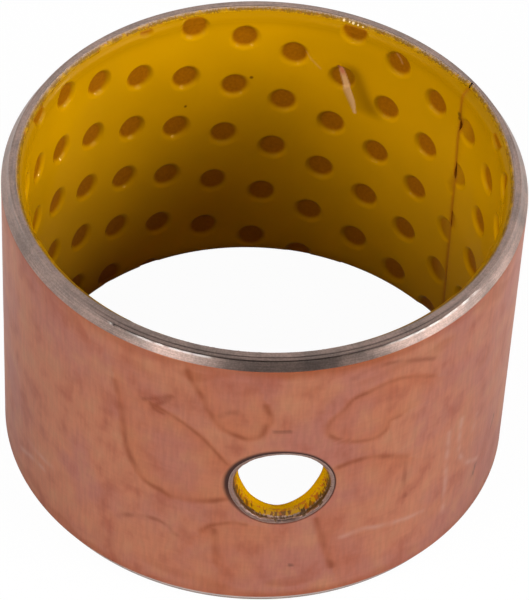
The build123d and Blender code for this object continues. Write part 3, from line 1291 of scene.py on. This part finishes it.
    def _gouged(self, flat: np.ndarray) -> tuple[np.ndarray, np.ndarray, np.ndarray]:
        """Ploughs the gouge, the dent beside it and the scrape.

        Args:
            flat: Points of the liner, changed in place.

        Returns:
            Torn plastic, metal laid bare, and bruised plastic with painted shade in the dent, each from 0 to 1 at every
            point.
        """
        bore = flat[:, 2] < 0.3
        away = abs(from_curve(flat, curved(self.gouge)))
        top, foot = self.gouge[0][1], self.gouge[-1][1]
        along = np.clip((top - flat[:, 1]) / (top - foot), 0, 1)
        half = np.interp(along, np.linspace(0, 1, len(self.gouge_half)), self.gouge_half)
        scar = np.where(bore, 1 - smooth(away / half, 0.6, 1.25), 0)
        bare = scar * (1 - smooth(along, 0.14, 0.3))
        beside = from_curve(flat, curved(self.dent))
        hollow = bell(beside, np.where(beside > 0, 1.3, 0.8))
        fade = smooth(flat[:, 1], 19.5, 20.8) * (1 - smooth(flat[:, 1], 24.2, 26.0))
        bruise = np.where(bore, hollow * fade, 0)
        sink = 0.36 * (1 - smooth(away / half, 0.5, 1.3)) * (1 - 0.85 * along) + 0.17 * bruise
        rough = ripple(flat[bore] * np.array([1.0, 0.35, 1.0]), 0.22, 11.0)
        sink[bore] += 0.05 * rough * scar[bore]
        graze, scrape = bell(from_curve(flat, self.graze), 0.09), bell(from_curve(flat, self.scrape), 0.1)
        lift = 0.04 * scrape + 0.05 * graze
        lift += 0.06 * bell(away - half - 0.1, 0.1) * (away > half * 0.8)
        from_pushed = np.hypot(*(flat[:, :2] - self.pushed_up).T)
        lift += 0.09 * bell(from_pushed - 0.6, 0.13) * (flat[:, 1] < self.pushed_up[1] - 0.2)
        flat[bore, 2] += (sink - lift)[bore]
        scar = np.where(bore, np.maximum(scar, 0.2 * np.maximum(scrape, 1.4 * graze)), 0)
        return scar, bare, bruise

    def _frayed(self, flat: np.ndarray) -> None:
        """Makes the cut edges at both ends ragged, as torn plastic is between the grains of bronze.

        Args:
            flat: Points of the liner, changed in place.
        """
        edge = (abs(flat[:, 2] - self.wall) < 0.001) & (abs(flat[:, 1] - self.middle) > self.edge_rise)
        sign = np.sign(flat[edge, 1] - self.middle)
        shift = 0.07 * ripple(flat[edge], 0.19, 21.0) + 0.05 * ripple(flat[edge], 0.5, 22.0)
        shift *= 0.7 + 0.3 * sign
        flat[edge, 1] += sign * (shift - 0.03)
        flat[edge, 2] -= 0.02

    def _follow_seam(self, flat: np.ndarray, strip: Strip) -> None:
        """Makes the two seam edges waver and nearly touch, as the soft plastic does, but gape in the thin pockets.

        Args:
            flat: Points of the liner, changed in place.
            strip: The strip.
        """
        wave = np.interp(flat[:, 1], [up for up, _ in self.seam], [shift for _, shift in self.seam])
        places = self.pattern.places(strip)
        cut = places[abs(places[:, 0] - strip.length / 2) > strip.length / 2 - 1.0]
        gape = bell(flat[:, 1, None] - cut[None, :, 1], 0.6).max(axis=1)
        for end, sign in zip(strip.edges, (1, -1)):
            near = np.exp(-abs(flat[:, 0] - end) / 0.6)
            close = np.exp(-abs(flat[:, 0] - end) / 0.15) * (1 - 0.95 * gape)
            flat[:, 0] += near * wave - sign * 0.0965 * close
            flat[:, 2] += np.where(flat[:, 2] < 0.3, 0.06 * close, 0)


@dataclass
class BronzeInterlayer:
    """Sintered bronze that keys the acetal to the steel, seen only at the ends and in the hole."""

    inner: float = 0.5
    outer: float = 0.8
    corner: float = 29.655
    foot: float = 0.5
    sole: float = 0.2

    def build(self, shop: Workshop) -> bpy.types.Object:
        """Makes the interlayer.

        Args:
            shop: Strip and rolling tree.

        Returns:
            The piece.
        """
        strip = shop.strip
        low, high = strip.patch_rows
        corners = (self.foot, low, high, self.corner)
        outside = spaced(
            [
                (self.corner + 0.04, self.inner + 0.035),
                (strip.height - 0.015, self.outer - 0.015),
                (strip.height - 0.05, self.outer),
                (high, self.outer),
                (low, self.outer),
                (self.sole + 0.05, self.outer),
                (self.sole + 0.015, self.outer - 0.015),
                (self.foot - 0.035, self.inner + 0.035),
            ],
            [0.06, 0.1, *UP_THE_WALL, 0.1, 0.06],
        )
        layer = FlatLayer(
            strip,
            strip.columns([], [0.16] * 3),
            spaced([(up, self.inner) for up in corners], UP_THE_WALL),
            outside,
            [4.3, 4.0],
            [4.3, 4.0],
            [(4.0, 0.74), (4.0, 0.68), (4.0, 0.62), (4.0, 0.56)],
        )
        flat = layer.points
        strip.pull_mouth(flat)
        turned = smooth(abs(flat[:, 1] - strip.hole_up), 12.0, 13.0)
        top = flat[:, 1] > strip.hole_up
        ends = (flat[:, 1] > self.corner + 0.02) | (flat[:, 1] < self.foot - 0.02)
        bumps = 0.02 * ripple(flat[ends], 0.12, 2.0)
        flat[ends, 1] += np.where(top[ends], -1, 1) * (0.012 + bumps)
        marks = {"turned": turned, "depth": flat[:, 2].copy()}
        strip.relieve(flat)
        strip.lean(flat, 0.0)
        return shop.finish("bronze_interlayer", layer, marks, FilledSinteredBronze().material(), Slot.BRONZE, 50)


@dataclass
class SteelBacking:
    """Load-carrying back: its turned end faces and chamfers, and the drilled hole with its burr."""

    inner: float = 0.8
    face_from: float = 1.03
    face_to: float = 1.35
    sole: float = 0.2
    outer: float = 1.98
    hidden: float = 1.94
    chamfer_down: float = 1.06
    nick: float = -13.8
    face_rise: float = 14.97
    facet_rise: float = 14.6
    groove_rise: float = 14.5
    lip_up: float = 29.6
    worked: tuple[float, float] = (0.6, 1.0)
    burr_reach: float = 4.4
    burr_from: float = 1.6
    # Radius and depth of the rings down the hole's wall, from the burr inwards.
    hole_wall: Chain = (
        (4.34, 1.955), (4.29, 1.972), (4.22, 1.968), (4.15, 1.945), (4.08, 1.9), (4.02, 1.84), (3.98, 1.76),
        (3.97, 1.68), (3.99, 1.58), (4.0, 1.48), (4.0, 1.36), (4.0, 1.24), (4.0, 1.12), (4.0, 1.0), (4.0, 0.88),
    )  # fmt: skip

    def build(self, shop: Workshop) -> bpy.types.Object:
        """Makes the backing.

        Args:
            shop: Strip and rolling tree.

        Returns:
            The piece.
        """
        strip = shop.strip
        low, high = strip.patch_rows
        top = strip.height
        corners = (self.sole + 0.03, low, high, top - 0.012)
        upper = [
            (top, self.inner + 0.012),
            (top, self.face_to - 0.02),
            (top - 0.02, self.face_to + 0.015),
            (top - 0.33, self.face_to + 0.09),
            (top - 0.385, self.face_to + 0.115),
            (top - 0.36, self.face_to + 0.14),
            (top - 0.375, self.face_to + 0.17),
            (top - 0.44, self.face_to + 0.205),
            (top - self.chamfer_down + 0.03, self.outer - 0.02),
            (top - self.chamfer_down, self.outer - 0.004),
            (top - self.chamfer_down - 0.15, self.hidden),
            (high, self.hidden),
        ]
        lower = [(top - up, depth) for up, depth in reversed(upper[1:])]
        lower += [(0.0, self.face_from), (self.sole, self.inner + 0.02)]
        steps = [0.12, 0.06, 0.12, 0.08, 0.06, 0.06, 0.08, 0.12, 0.1, 0.2, 9.0]
        outside = spaced(upper + lower, steps + [0.65] + steps[:0:-1] + [0.12, 0.12])
        nick = strip.hole_round + self.nick
        layer = FlatLayer(
            strip,
            strip.columns([nick + 0.15 * k for k in range(-2, 3)], [0.22] * 8),
            spaced([(up, self.inner) for up in corners], UP_THE_WALL),
            outside,
            [4.3, 4.0],
            [4.8, 4.6, 4.4],
            self.hole_wall,
        )
        flat = layer.points
        away, angle = strip.hole_plane(flat)
        depth = flat[:, 2].copy()
        turn = (flat[:, 0] - strip.hole_round) / strip.bore
        marks = self._drilled(strip, flat, away, angle)
        self._grooved(strip, flat, depth, turn)
        past_face = depth - self.face_to
        from_middle = abs(flat[:, 1] - strip.hole_up)
        face = from_middle > self.face_rise
        worked = 1 - smooth(abs(turn), *self.worked)
        # Painted shade: dark lines at the corner of the end face and in the groove, on the side where the groove was
        # cut, and round the burr of the hole.
        groove = bell(past_face - 0.112, 0.028) * (from_middle > self.groove_rise)
        groove *= (0.25 + 0.75 * bell(turn + 0.07, 0.33)) * worked
        corner = 0.35 * (abs(past_face) < 0.03) * face * worked
        marks["crease"] = 0.9 * np.maximum(groove, corner) + marks.pop("line")
        # Painted highlight on the lip beside the groove in two stretches, and a nick with a painted glint on one side
        # and painted shade on the other.
        lip = (abs(flat[:, 1] - self.lip_up) < 0.08) & (past_face > 0.13) & (past_face < 0.24)
        burnished = smooth(turn, -0.64, -0.58) * (1 - smooth(turn, -0.3, -0.25))
        burnished += smooth(turn, 0.36, 0.46) * (1 - smooth(turn, 0.76, 0.9))
        burnished *= smooth(ripple(flat, 0.7, 15.0), -0.5, 0.0)
        dot, pit = (bell(flat[:, 0] - nick - side, 0.13) for side in (-0.15, 0.15))
        marks["shine"] = np.where(lip, np.maximum(0.9 * burnished, dot), 0)
        # Painted shade: the steep facet is a little darker, and so is the outer half of the face at the back.
        facet = (past_face > 0.012) & (past_face < 0.1) & (from_middle > self.facet_rise)
        marks["crease"] += np.where(facet, 0.3 * worked, 0) + np.where(lip, 0.8 * pit, 0)
        marks["crease"] += 0.13 * smooth(depth, 1.12, 1.28) * smooth(abs(turn), 1.2, 1.8) * face
        strip.relieve(flat)
        strip.lean(flat, 0.09)
        strip.pull_mouth(flat)
        return shop.finish("steel_backing", layer, marks, TurnedSteel().material(), Slot.STEEL, 28)

    def _grooved(self, strip: Strip, flat: np.ndarray, depth: np.ndarray, turn: np.ndarray) -> None:
        """Lets the steep facet and the groove beside it run out into a plain corner away from the hole's side.

        Args:
            strip: The strip.
            flat: Points of the backing, changed in place.
            depth: Depth of each point.
            turn: Angle of each point from the hole's side, in radians.
        """
        from_middle, past_face = flat[:, 1] - strip.hole_up, depth - self.face_to
        edge = (abs(from_middle) > self.groove_rise) & (past_face > 0.012) & (past_face < 0.206)
        plain = strip.hole_up - 0.02 - (past_face - 0.015) / 0.19 * 0.42
        share = smooth(abs(turn), *self.worked)
        drawn = np.sign(from_middle) * (abs(from_middle) * (1 - share) + plain * share)
        flat[edge, 1] = strip.hole_up + drawn[edge]
        ridge = (abs(from_middle) > self.facet_rise) & (abs(past_face - 0.15) < 0.025)
        flat[ridge, 2] -= 0.02 * ripple(flat[ridge], 0.6, 4.0)

    def _drilled(self, strip: Strip, flat: np.ndarray, away: np.ndarray, angle: np.ndarray) -> dict[str, np.ndarray]:
        """Roughens the drilled hole and raises its burr.

        Args:
            strip: The strip.
            flat: Points of the backing, changed in place.
            away: Distance of each point from the drill's axis.
            angle: Angle of each point about it.

        Returns:
            Marks of smeared plastic, of darker streaks and a darker band down the hole, of the burr and of the painted
            shade line round it, from 0 to 1 at every point.
        """
        depth = flat[:, 2].copy()
        drilled = (away < 4.2) & (depth > 0.79)
        smear = np.where(drilled, 1 - smooth(depth, 1.1, 1.55), 0)
        # Darker streaks down the hole's wall, and a darker band below the burr.
        streaks = ripple(np.column_stack([8 * np.cos(angle), 8 * np.sin(angle), 0.6 * depth]), 1.0, 12.0)
        streaks = smooth(streaks, -0.3, 0.3) * (0.5 + 0.5 * bell(angle + 0.6, 0.6))
        streaks *= smooth(depth, 0.8, 1.2) * smooth(-np.sin(angle), -0.3, 0.3)
        side = np.where(np.cos(angle) > 0, 0.4, 0.15) * smooth(abs(np.cos(angle)), 0.4, 0.9)
        gap = np.maximum(0.9 * smooth(depth, 1.3, 1.5), 0.5 * smooth(depth + side, 1.3, 1.5))
        gap *= (1 - smooth(depth, 1.66, 1.78)) * (0.7 + 0.3 * smooth(side, 0.0, 0.15))
        soot = np.where(drilled, np.maximum(gap, 0.85 * streaks), 0)
        burr = (away < self.burr_reach) & (depth > self.burr_from)
        rim = np.column_stack([4 * np.cos(angle[burr]), 4 * np.sin(angle[burr]), depth[burr]])
        lump = ripple(rim, 0.6, 6.0) + 0.6 * ripple(rim, 0.25, 7.0)
        lump *= 0.3 + 0.7 * (1 - smooth(np.sin(angle[burr]), -0.2, 0.4))
        fade = 1 - smooth(away[burr], 4.24, 4.34)
        flat[burr] = strip.drilled(away[burr] - 0.085 * lump * fade, angle[burr], depth[burr])
        flat[burr, 2] = np.minimum(depth[burr] + 0.025 * lump * fade, 1.99)
        wall = drilled & (depth <= self.burr_from)
        rim = np.column_stack([30 * np.cos(angle[wall]), 30 * np.sin(angle[wall]), depth[wall] * 1.5])
        flat[wall] = strip.drilled(away[wall] + 0.02 * ripple(rim, 1.0, 8.0), angle[wall], depth[wall])
        lip = bell(away - 4.15, 0.045) * smooth(ripple(flat, 0.5, 13.0), -0.4, 0.2)
        # Painted shade: a thin dark line round the burr's outer edge.
        line = 0.4 * bell(away - 4.22, 0.03) * smooth(ripple(flat, 0.6, 14.0), -0.3, 0.3)
        marks = {"smear": smear, "soot": soot}
        return marks | {"burr": np.where(burr, 0.3 + 0.6 * lip, 0), "line": np.where(burr, line, 0)}


@dataclass
class CopperPlating:
    """Copper flash outside, with the marks that it carries."""

    inner: float = 1.955
    outer: float = 2.0
    edge: float = 28.95
    hole: float = 4.36
    front: tuple[float, float] = (50.0, 115.0)
    # Each tide mark's warmer side, left 1, right -1 or neither 0, and its line as (round, up).
    tides: tuple[tuple[int, Chain], ...] = (
        (1, ((77.4, 28.0), (77.7, 27.0), (78.4, 25.6), (79.5, 22.9), (80.3, 21.8), (81.2, 21.3), (82.1, 21.0),
             (83.0, 21.4), (83.5, 22.7), (83.7, 23.2), (83.3, 25.0))),
        (0, ((79.9, 23.3), (80.5, 23.8), (81.3, 24.2))),
        (-1, ((74.6, 22.9), (75.5, 22.6), (76.4, 22.2), (77.3, 21.6), (78.4, 20.7), (79.3, 19.6), (80.7, 17.6))),
        (1, ((71.6, 23.7), (72.0, 21.8), (72.3, 19.0), (72.6, 17.0), (73.1, 15.2), (73.8, 13.8), (74.6, 13.1),
             (75.7, 12.7), (76.5, 12.4), (78.3, 12.6), (79.5, 12.9), (80.6, 13.4))),
        (0, ((72.0, 7.4), (73.5, 8.5), (75.2, 8.9), (76.1, 8.6), (76.9, 7.7))),
        (-1, ((78.9, 8.9), (79.7, 9.9), (81.1, 10.5), (82.2, 10.4))),
        (1, ((79.8, 9.3), (79.9, 7.9), (80.1, 5.2))),
        (1, ((96.9, 23.6), (95.3, 24.7), (93.6, 25.5), (92.2, 25.5), (91.2, 25.2), (89.8, 24.7), (89.1, 23.6),
             (88.2, 22.6), (88.0, 21.3), (88.8, 20.3), (90.2, 19.5), (91.8, 19.2), (92.7, 19.7), (93.0, 20.7),
             (93.9, 20.9))),
        (0, ((89.8, 27.2), (90.5, 27.7), (92.3, 27.9), (94.7, 27.0), (96.6, 25.9))),
        (-1, ((89.1, 16.8), (90.4, 17.1), (91.9, 16.9), (93.8, 15.9), (94.8, 15.2))),
        (0, ((94.7, 14.8), (94.9, 11.9), (95.1, 10.1))),
        (1, ((87.6, 10.7), (88.1, 8.2), (88.5, 6.5), (89.1, 4.2))),
        (0, ((74.0, 23.1), (75.2, 23.8), (76.3, 24.5), (75.7, 23.7), (74.8, 22.5), (75.6, 22.2))),
    )  # fmt: skip
    scuffs: tuple[Chain, ...] = (
        ((99.2, 14.9), (99.3, 10.9), (99.4, 7.7), (99.5, 4.5)),
        ((100.7, 15.3), (100.8, 11.2), (102.1, 8.6), (103.8, 7.3)),
        ((103.0, 13.8), (102.5, 12.2)),
        ((59.7, 4.4), (62.0, 5.6), (63.9, 6.1)),
        ((61.4, 7.1), (63.3, 7.3), (65.0, 7.5)),
        ((89.7, 7.7), (91.4, 8.0), (92.9, 7.6), (95.1, 7.1), (97.0, 6.7)),
    )
    nicks: tuple[Chain, ...] = (
        ((84.0, 21.9), (85.2, 21.9)), ((106.7, 9.9), (106.3, 8.7)), ((103.8, 6.7), (103.4, 5.6)),
    )  # fmt: skip
    speck: tuple[float, float] = (85.8, 5.1)

    def build(self, shop: Workshop) -> bpy.types.Object:
        """Makes the plating.

        Args:
            shop: Strip and rolling tree.

        Returns:
            The piece.
        """
        strip = shop.strip
        low, high = strip.patch_rows
        foot = strip.height - self.edge
        bore_side = spaced([(up, self.inner) for up in (foot, low, high, self.edge)], UP_THE_WALL)
        outside = spaced(
            [
                (self.edge, self.outer - 0.02),
                (self.edge - 0.03, self.outer),
                (high, self.outer),
                (low, self.outer),
                (foot + 0.03, self.outer),
                (foot, self.outer - 0.02),
            ],
            [0.1, 0.2, 0.2, 0.2, 0.1],
        )
        layer = FlatLayer(
            strip,
            strip.columns(list(self.front), [0.45, 0.2, 0.2, 0.2, 0.45]),
            bore_side,
            outside,
            [4.6, self.hole],
            [5.0, 4.85, 4.72, 4.63, 4.57, 4.52, 4.47, 4.43, 4.39, self.hole],
            [(self.hole - 0.01, 1.985), (self.hole - 0.01, 1.965)],
            blends=5,
        )
        flat = layer.points
        skin = flat[:, 2] > self.inner + 0.01
        relief = 0.006 + 0.006 * (1 + ripple(flat * np.array([0.35, 1.0, 1.0]), 2.6, 1.0))
        away, angle = strip.hole_plane(flat)
        relief += 0.02 * (1 - smooth(away, self.hole, 4.6))
        flat[skin, 2] -= relief[skin]
        marks = self._tides(flat)
        pale = np.zeros(len(flat))
        for scuff in self.scuffs:
            pale = np.maximum(pale, 0.6 * bell(from_curve(flat, curved(scuff)), 0.26))
        pale *= 0.3 + 0.7 * smooth(ripple(flat, 1.0, 33.0), -0.4, 0.3)
        # Darker, more orange bands along both ends, strongest at the front under the top edge, and darker patches near
        # the ends; at the foot they are painted shade from the table.
        under = np.minimum(self.edge - flat[:, 1], flat[:, 1] - foot + 0.2) + 0.25 * ripple(flat, 1.3, 31.0)
        patchy = smooth(ripple(flat * np.array([0.5, 1.0, 1.0]), 1.6, 32.0), 0.0, 0.4) * (1 - smooth(under, 1.5, 3.5))
        turn = (flat[:, 0] - strip.hole_round) / strip.bore
        stained = 0.36 + 0.38 * smooth(turn, -0.25, -0.05) * (1 - smooth(turn, 0.35, 0.55))
        rim = np.maximum(stained * (1 - smooth(under, 0.25, 1.3)), 0.42 * patchy)
        # Dark marks: an outline round the hole, widest on the left and at the top, the nicks and a speck.
        nick = np.max([bell(from_curve(flat, nick), 0.12) for nick in self.nicks], axis=0)
        speck = 1 - smooth(np.hypot(*(flat[:, :2] - self.speck).T), 0.12, 0.3)
        wide = 0.1 + 0.27 * np.maximum(-np.cos(angle + 0.3), 0) ** 2 + 0.1 * np.maximum(np.sin(angle), 0)
        ring = (1 - smooth((away - self.hole) / wide, 0.5, 1.6)) * (1 - 0.4 * np.maximum(-np.sin(angle), 0))
        marks |= {"pale": pale, "rim": rim, "burnt": np.maximum(ring, np.maximum(0.6 * nick, 0.5 * speck))}
        strip.lean(flat, 0.04)
        strip.pull_mouth(flat)
        return shop.finish("copper_plating", layer, marks, CopperFlash().material(), Slot.COPPER, 40)

    def _tides(self, flat: np.ndarray) -> dict[str, np.ndarray]:
        """Paints the tide marks: a soft darker line, fading along its way, and a warmer tone on its inner side.

        Args:
            flat: Points of the plating.

        Returns:
            Marks of the lines and of the warm tone, from 0 to 1 at every point.
        """
        strength = 0.3 + 0.7 * smooth(ripple(flat, 1.5, 41.0), -0.4, 0.4)
        waver = 0.1 * ripple(flat, 0.9, 42.0)
        stain, warm = np.zeros(len(flat)), np.zeros(len(flat))
        for number, (side, corners) in enumerate(self.tides):
            far = from_curve(flat, curved(corners))
            width = 0.25 + 0.06 * math.sin(number * 2.4)
            stain = np.maximum(stain, 0.62 * strength * bell(abs(far) + waver, width))
            within = np.where(far * side > 0, np.exp(-abs(far) / 1.6), bell(far, 0.3))
            warm = np.maximum(warm, abs(side) * 0.55 * within)
        return {"stain": stain, "warm": warm}


# ---------------------------- studio


class Reach(Enum):
    """Which surfaces a lamp lights."""

    MATT = "matt"
    GLOSS = "gloss"


@dataclass(frozen=True)
class SoftBox:
    """A soft box that faces the object, by its direction and its size, in degrees and metres."""

    name: str
    azimuth: float
    elevation: float
    distance: float
    width: float
    height: float
    strength: float
    reach: Reach

    def build(self, target: Vector) -> None:
        """Makes the lamp.

        Args:
            target: Place that it faces.
        """
        data = bpy.data.lights.new(self.name, "AREA")
        data.shape = "RECTANGLE"
        data.size, data.size_y = self.width, self.height
        data.energy = self.strength * math.pi * self.width * self.height
        lamp = bpy.data.objects.new(self.name, data)
        towards_lamp = heading(self.azimuth, self.elevation)
        lamp.location = target + towards_lamp * self.distance
        lamp.rotation_euler = towards_lamp.to_track_quat("Z", "Y").to_euler()
        lamp.visible_camera = False
        lamp.visible_glossy = self.reach is Reach.GLOSS
        lamp.visible_diffuse = self.reach is Reach.MATT
        bpy.context.scene.collection.objects.link(lamp)


@dataclass(frozen=True)
class Studio:
    """Camera, floor, world and lamps, in metres and degrees."""

    camera_place: tuple[float, float, float] = (-0.0268, -0.2196, 0.2420)
    yaw: float = 7.086
    pitch: float = 45.79
    roll: float = -3.11
    focal: float = 3678.47
    frame_height: float = 600.0
    target: tuple[float, float, float] = (0.0, 0.0, 0.015)
    whiteness: float = 0.97
    gleam: float = 0.02
    far_gleam: float = 0.45
    edge_gleam: float = 0.8
    table: str = "#B8B8B8"
    table_seen: str = "#F2F2F2"
    white: str = "#FFFFFF"
    front: tuple[float, float, float] = (-0.121, -0.993, 0.0)
    front_gloss: float = 0.12
    back_gloss: float = 1.0
    high_gloss: float = 0.03
    low_gloss: float = 0.5
    fill: float = 0.1
    boxes: tuple[SoftBox, ...] = (
        SoftBox("left key", 240, 27, 0.6, 0.4, 0.3, 9.5, Reach.MATT),
        SoftBox("right key", 121, 22, 0.6, 0.35, 0.3, 14.6, Reach.MATT),
        SoftBox("front fill", 187, 37, 0.7, 0.3, 0.3, 1.85, Reach.MATT),
        SoftBox("top key", 10, 75, 0.7, 0.5, 0.5, 0.15, Reach.MATT),
        SoftBox("left panel", 217, 18, 0.6, 0.25, 0.3, 1.25, Reach.GLOSS),
        SoftBox("right panel", 116, 18, 0.6, 0.37, 0.3, 1.2, Reach.GLOSS),
        SoftBox("left glint", 222, 26, 0.6, 0.036, 0.036, 34.0, Reach.GLOSS),
        SoftBox("right glint", 126, 30, 0.6, 0.036, 0.036, 38.0, Reach.GLOSS),
        SoftBox("side glint", 85, 17, 0.6, 0.034, 0.034, 130.0, Reach.GLOSS),
    )

    def camera(self) -> None:
        """Makes the camera and gives it to the scene."""
        yaw, roll = math.radians(self.yaw), math.radians(self.roll)
        forward = heading(self.yaw, -self.pitch)
        right = Vector((math.cos(yaw), -math.sin(yaw), 0.0))
        down = forward.cross(right)
        tilted_right = math.cos(roll) * right + math.sin(roll) * down
        tilted_down = -math.sin(roll) * right + math.cos(roll) * down
        turn = Matrix((tilted_right, -tilted_down, -forward)).transposed()
        data = bpy.data.cameras.new("camera")
        data.sensor_width = 36.0
        data.lens = self.focal * data.sensor_width / self.frame_height
        data.clip_start, data.clip_end = 0.01, 10.0
        camera = bpy.data.objects.new("camera", data)
        camera.matrix_world = Matrix.Translation(self.camera_place) @ turn.to_4x4()
        bpy.context.scene.collection.objects.link(camera)
        bpy.context.scene.camera = camera

    def seen(self, tree: bpy.types.NodeTree, by_eye: float, by_gloss: object) -> bpy.types.NodeSocket:
        """Weighs the rays that see the white surroundings.

        Args:
            tree: Tree of the floor or the world.
            by_eye: Weight of rays from the camera.
            by_gloss: Weight of rays off metal and through glass, as a number or a socket.

        Returns:
            Socket with the weight, which is 0 for all other rays.
        """
        add = partial(add_node, tree)
        path = add("ShaderNodeLightPath").node.outputs
        some = add("ShaderNodeMath", (path["Is Transmission Ray"], path["Is Glossy Ray"]), operation="MAXIMUM")
        bright = add("ShaderNodeMath", (some, by_gloss), operation="MULTIPLY")
        return add("ShaderNodeMath", (path["Is Camera Ray"], by_eye, bright), operation="MULTIPLY_ADD")

    def floor(self) -> None:
        """Makes the pale floor, which keeps the object's shadow."""
        mesh = bpy.data.meshes.new("floor")
        mesh.from_pydata([(-2, -2, 0), (2, -2, 0), (2, 2, 0), (-2, 2, 0)], [], [(0, 1, 2, 3)])
        material = bpy.data.materials.new("matt white table")
        material.use_nodes = True
        tree = material.node_tree
        tree.nodes.clear()
        add = partial(add_node, tree)
        inputs = {"Factor": self.seen(tree, 1.0, 0.0), "A": linear(self.table), "B": linear(self.table_seen)}
        colour = add("ShaderNodeMix", inputs, out="Result", data_type="RGBA")
        matt = add("ShaderNodeBsdfDiffuse", {"Color": colour})
        white = add("ShaderNodeEmission", {"Color": linear(self.white), "Strength": 1.0})
        place = add("ShaderNodeTexCoord", out="Object")
        way = add("ShaderNodeVectorMath", (place,), operation="NORMALIZE")
        towards = add("ShaderNodeVectorMath", (way, self.front), operation="DOT_PRODUCT", out="Value")
        away = add("ShaderNodeVectorMath", (place,), operation="LENGTH", out="Value")
        # To metal the table gleams away from the front and beyond the bush, and in a ring just under its edge.
        share = []
        for value, low, high, at_low, at_high in (
            (towards, -0.8, 0.3, self.far_gleam, self.gleam),
            (away, 21.5 * MM, 24 * MM, 0.0, 1.0),
        ):
            inputs = {"Value": value, "From Min": low, "From Max": high, "To Min": at_low, "To Max": at_high}
            share.append(add("ShaderNodeMapRange", inputs, interpolation_type="SMOOTHSTEP"))
        edge = add("ShaderNodeMath", (away, 21.6 * MM, 0.42 * MM), operation="COMPARE")
        edge = add("ShaderNodeMath", (edge, self.edge_gleam), operation="MULTIPLY")
        by_gloss = add("ShaderNodeMath", (share[0], share[1], edge), operation="MULTIPLY_ADD")
        both = add("ShaderNodeMixShader", (self.seen(tree, self.whiteness, by_gloss), matt, white))
        add("ShaderNodeOutputMaterial", {"Surface": both})
        mesh.materials.append(material)
        floor = bpy.data.objects.new("floor", mesh)
        floor.location.z = -0.00002
        bpy.context.scene.collection.objects.link(floor)

    def world(self) -> None:
        """Makes the world: white to look at, darker on some sides to metal, and a plain fill for the rest."""
        world = bpy.data.worlds.new("white tent")
        bpy.context.scene.world = world
        world.use_nodes = True
        tree = world.node_tree
        tree.nodes.clear()
        add = partial(add_node, tree)
        ray = add("ShaderNodeTexCoord", out="Generated")
        towards = add("ShaderNodeVectorMath", (ray, self.front), operation="DOT_PRODUCT", out="Value")
        rise = add("ShaderNodeSeparateXYZ", (ray,), out="Z")
        gloss = self.seen(tree, 0.0, 1.0)
        # To metal the tent is darker in front, near the table and overhead.
        for value, low, high, at_low, at_high in (
            (towards, 0.3, 0.8, self.back_gloss, self.front_gloss),
            (rise, 0.1, 0.45, self.low_gloss, 1.0),
            (rise, 0.655, 0.765, 1.0, self.high_gloss),
        ):
            inputs = {"Value": value, "From Min": low, "From Max": high, "To Min": at_low, "To Max": at_high}
            share = add("ShaderNodeMapRange", inputs, interpolation_type="SMOOTHSTEP")
            gloss = add("ShaderNodeMath", (gloss, share), operation="MULTIPLY")
        light = add("ShaderNodeMath", (gloss, self.seen(tree, 1.0, 0.0)), operation="MAXIMUM")
        strength = add("ShaderNodeMath", (light, self.fill), operation="MAXIMUM")
        sky = add("ShaderNodeBackground", {"Color": linear(self.white), "Strength": strength})
        add("ShaderNodeOutputWorld", {"Surface": sky})

    def build(self) -> None:
        """Makes the whole studio."""
        self.camera()
        self.floor()
        self.world()
        for box in self.boxes:
            box.build(Vector(self.target))
        bpy.context.scene.view_settings.view_transform = "Standard"


def main() -> None:
    """Builds the studio and the four layers, and logs them."""
    logging.basicConfig(level=logging.INFO, format="%(name)s %(message)s")
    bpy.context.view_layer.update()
    Studio().build()
    strip = Strip()
    shop = Workshop(strip, rolling_tree(strip))
    for layer in (AcetalLiner(), BronzeInterlayer(), SteelBacking(), CopperPlating()):
        piece = layer.build(shop)
        LOG.info("made %s", piece.name)


if __name__ == "__main__":
    main()
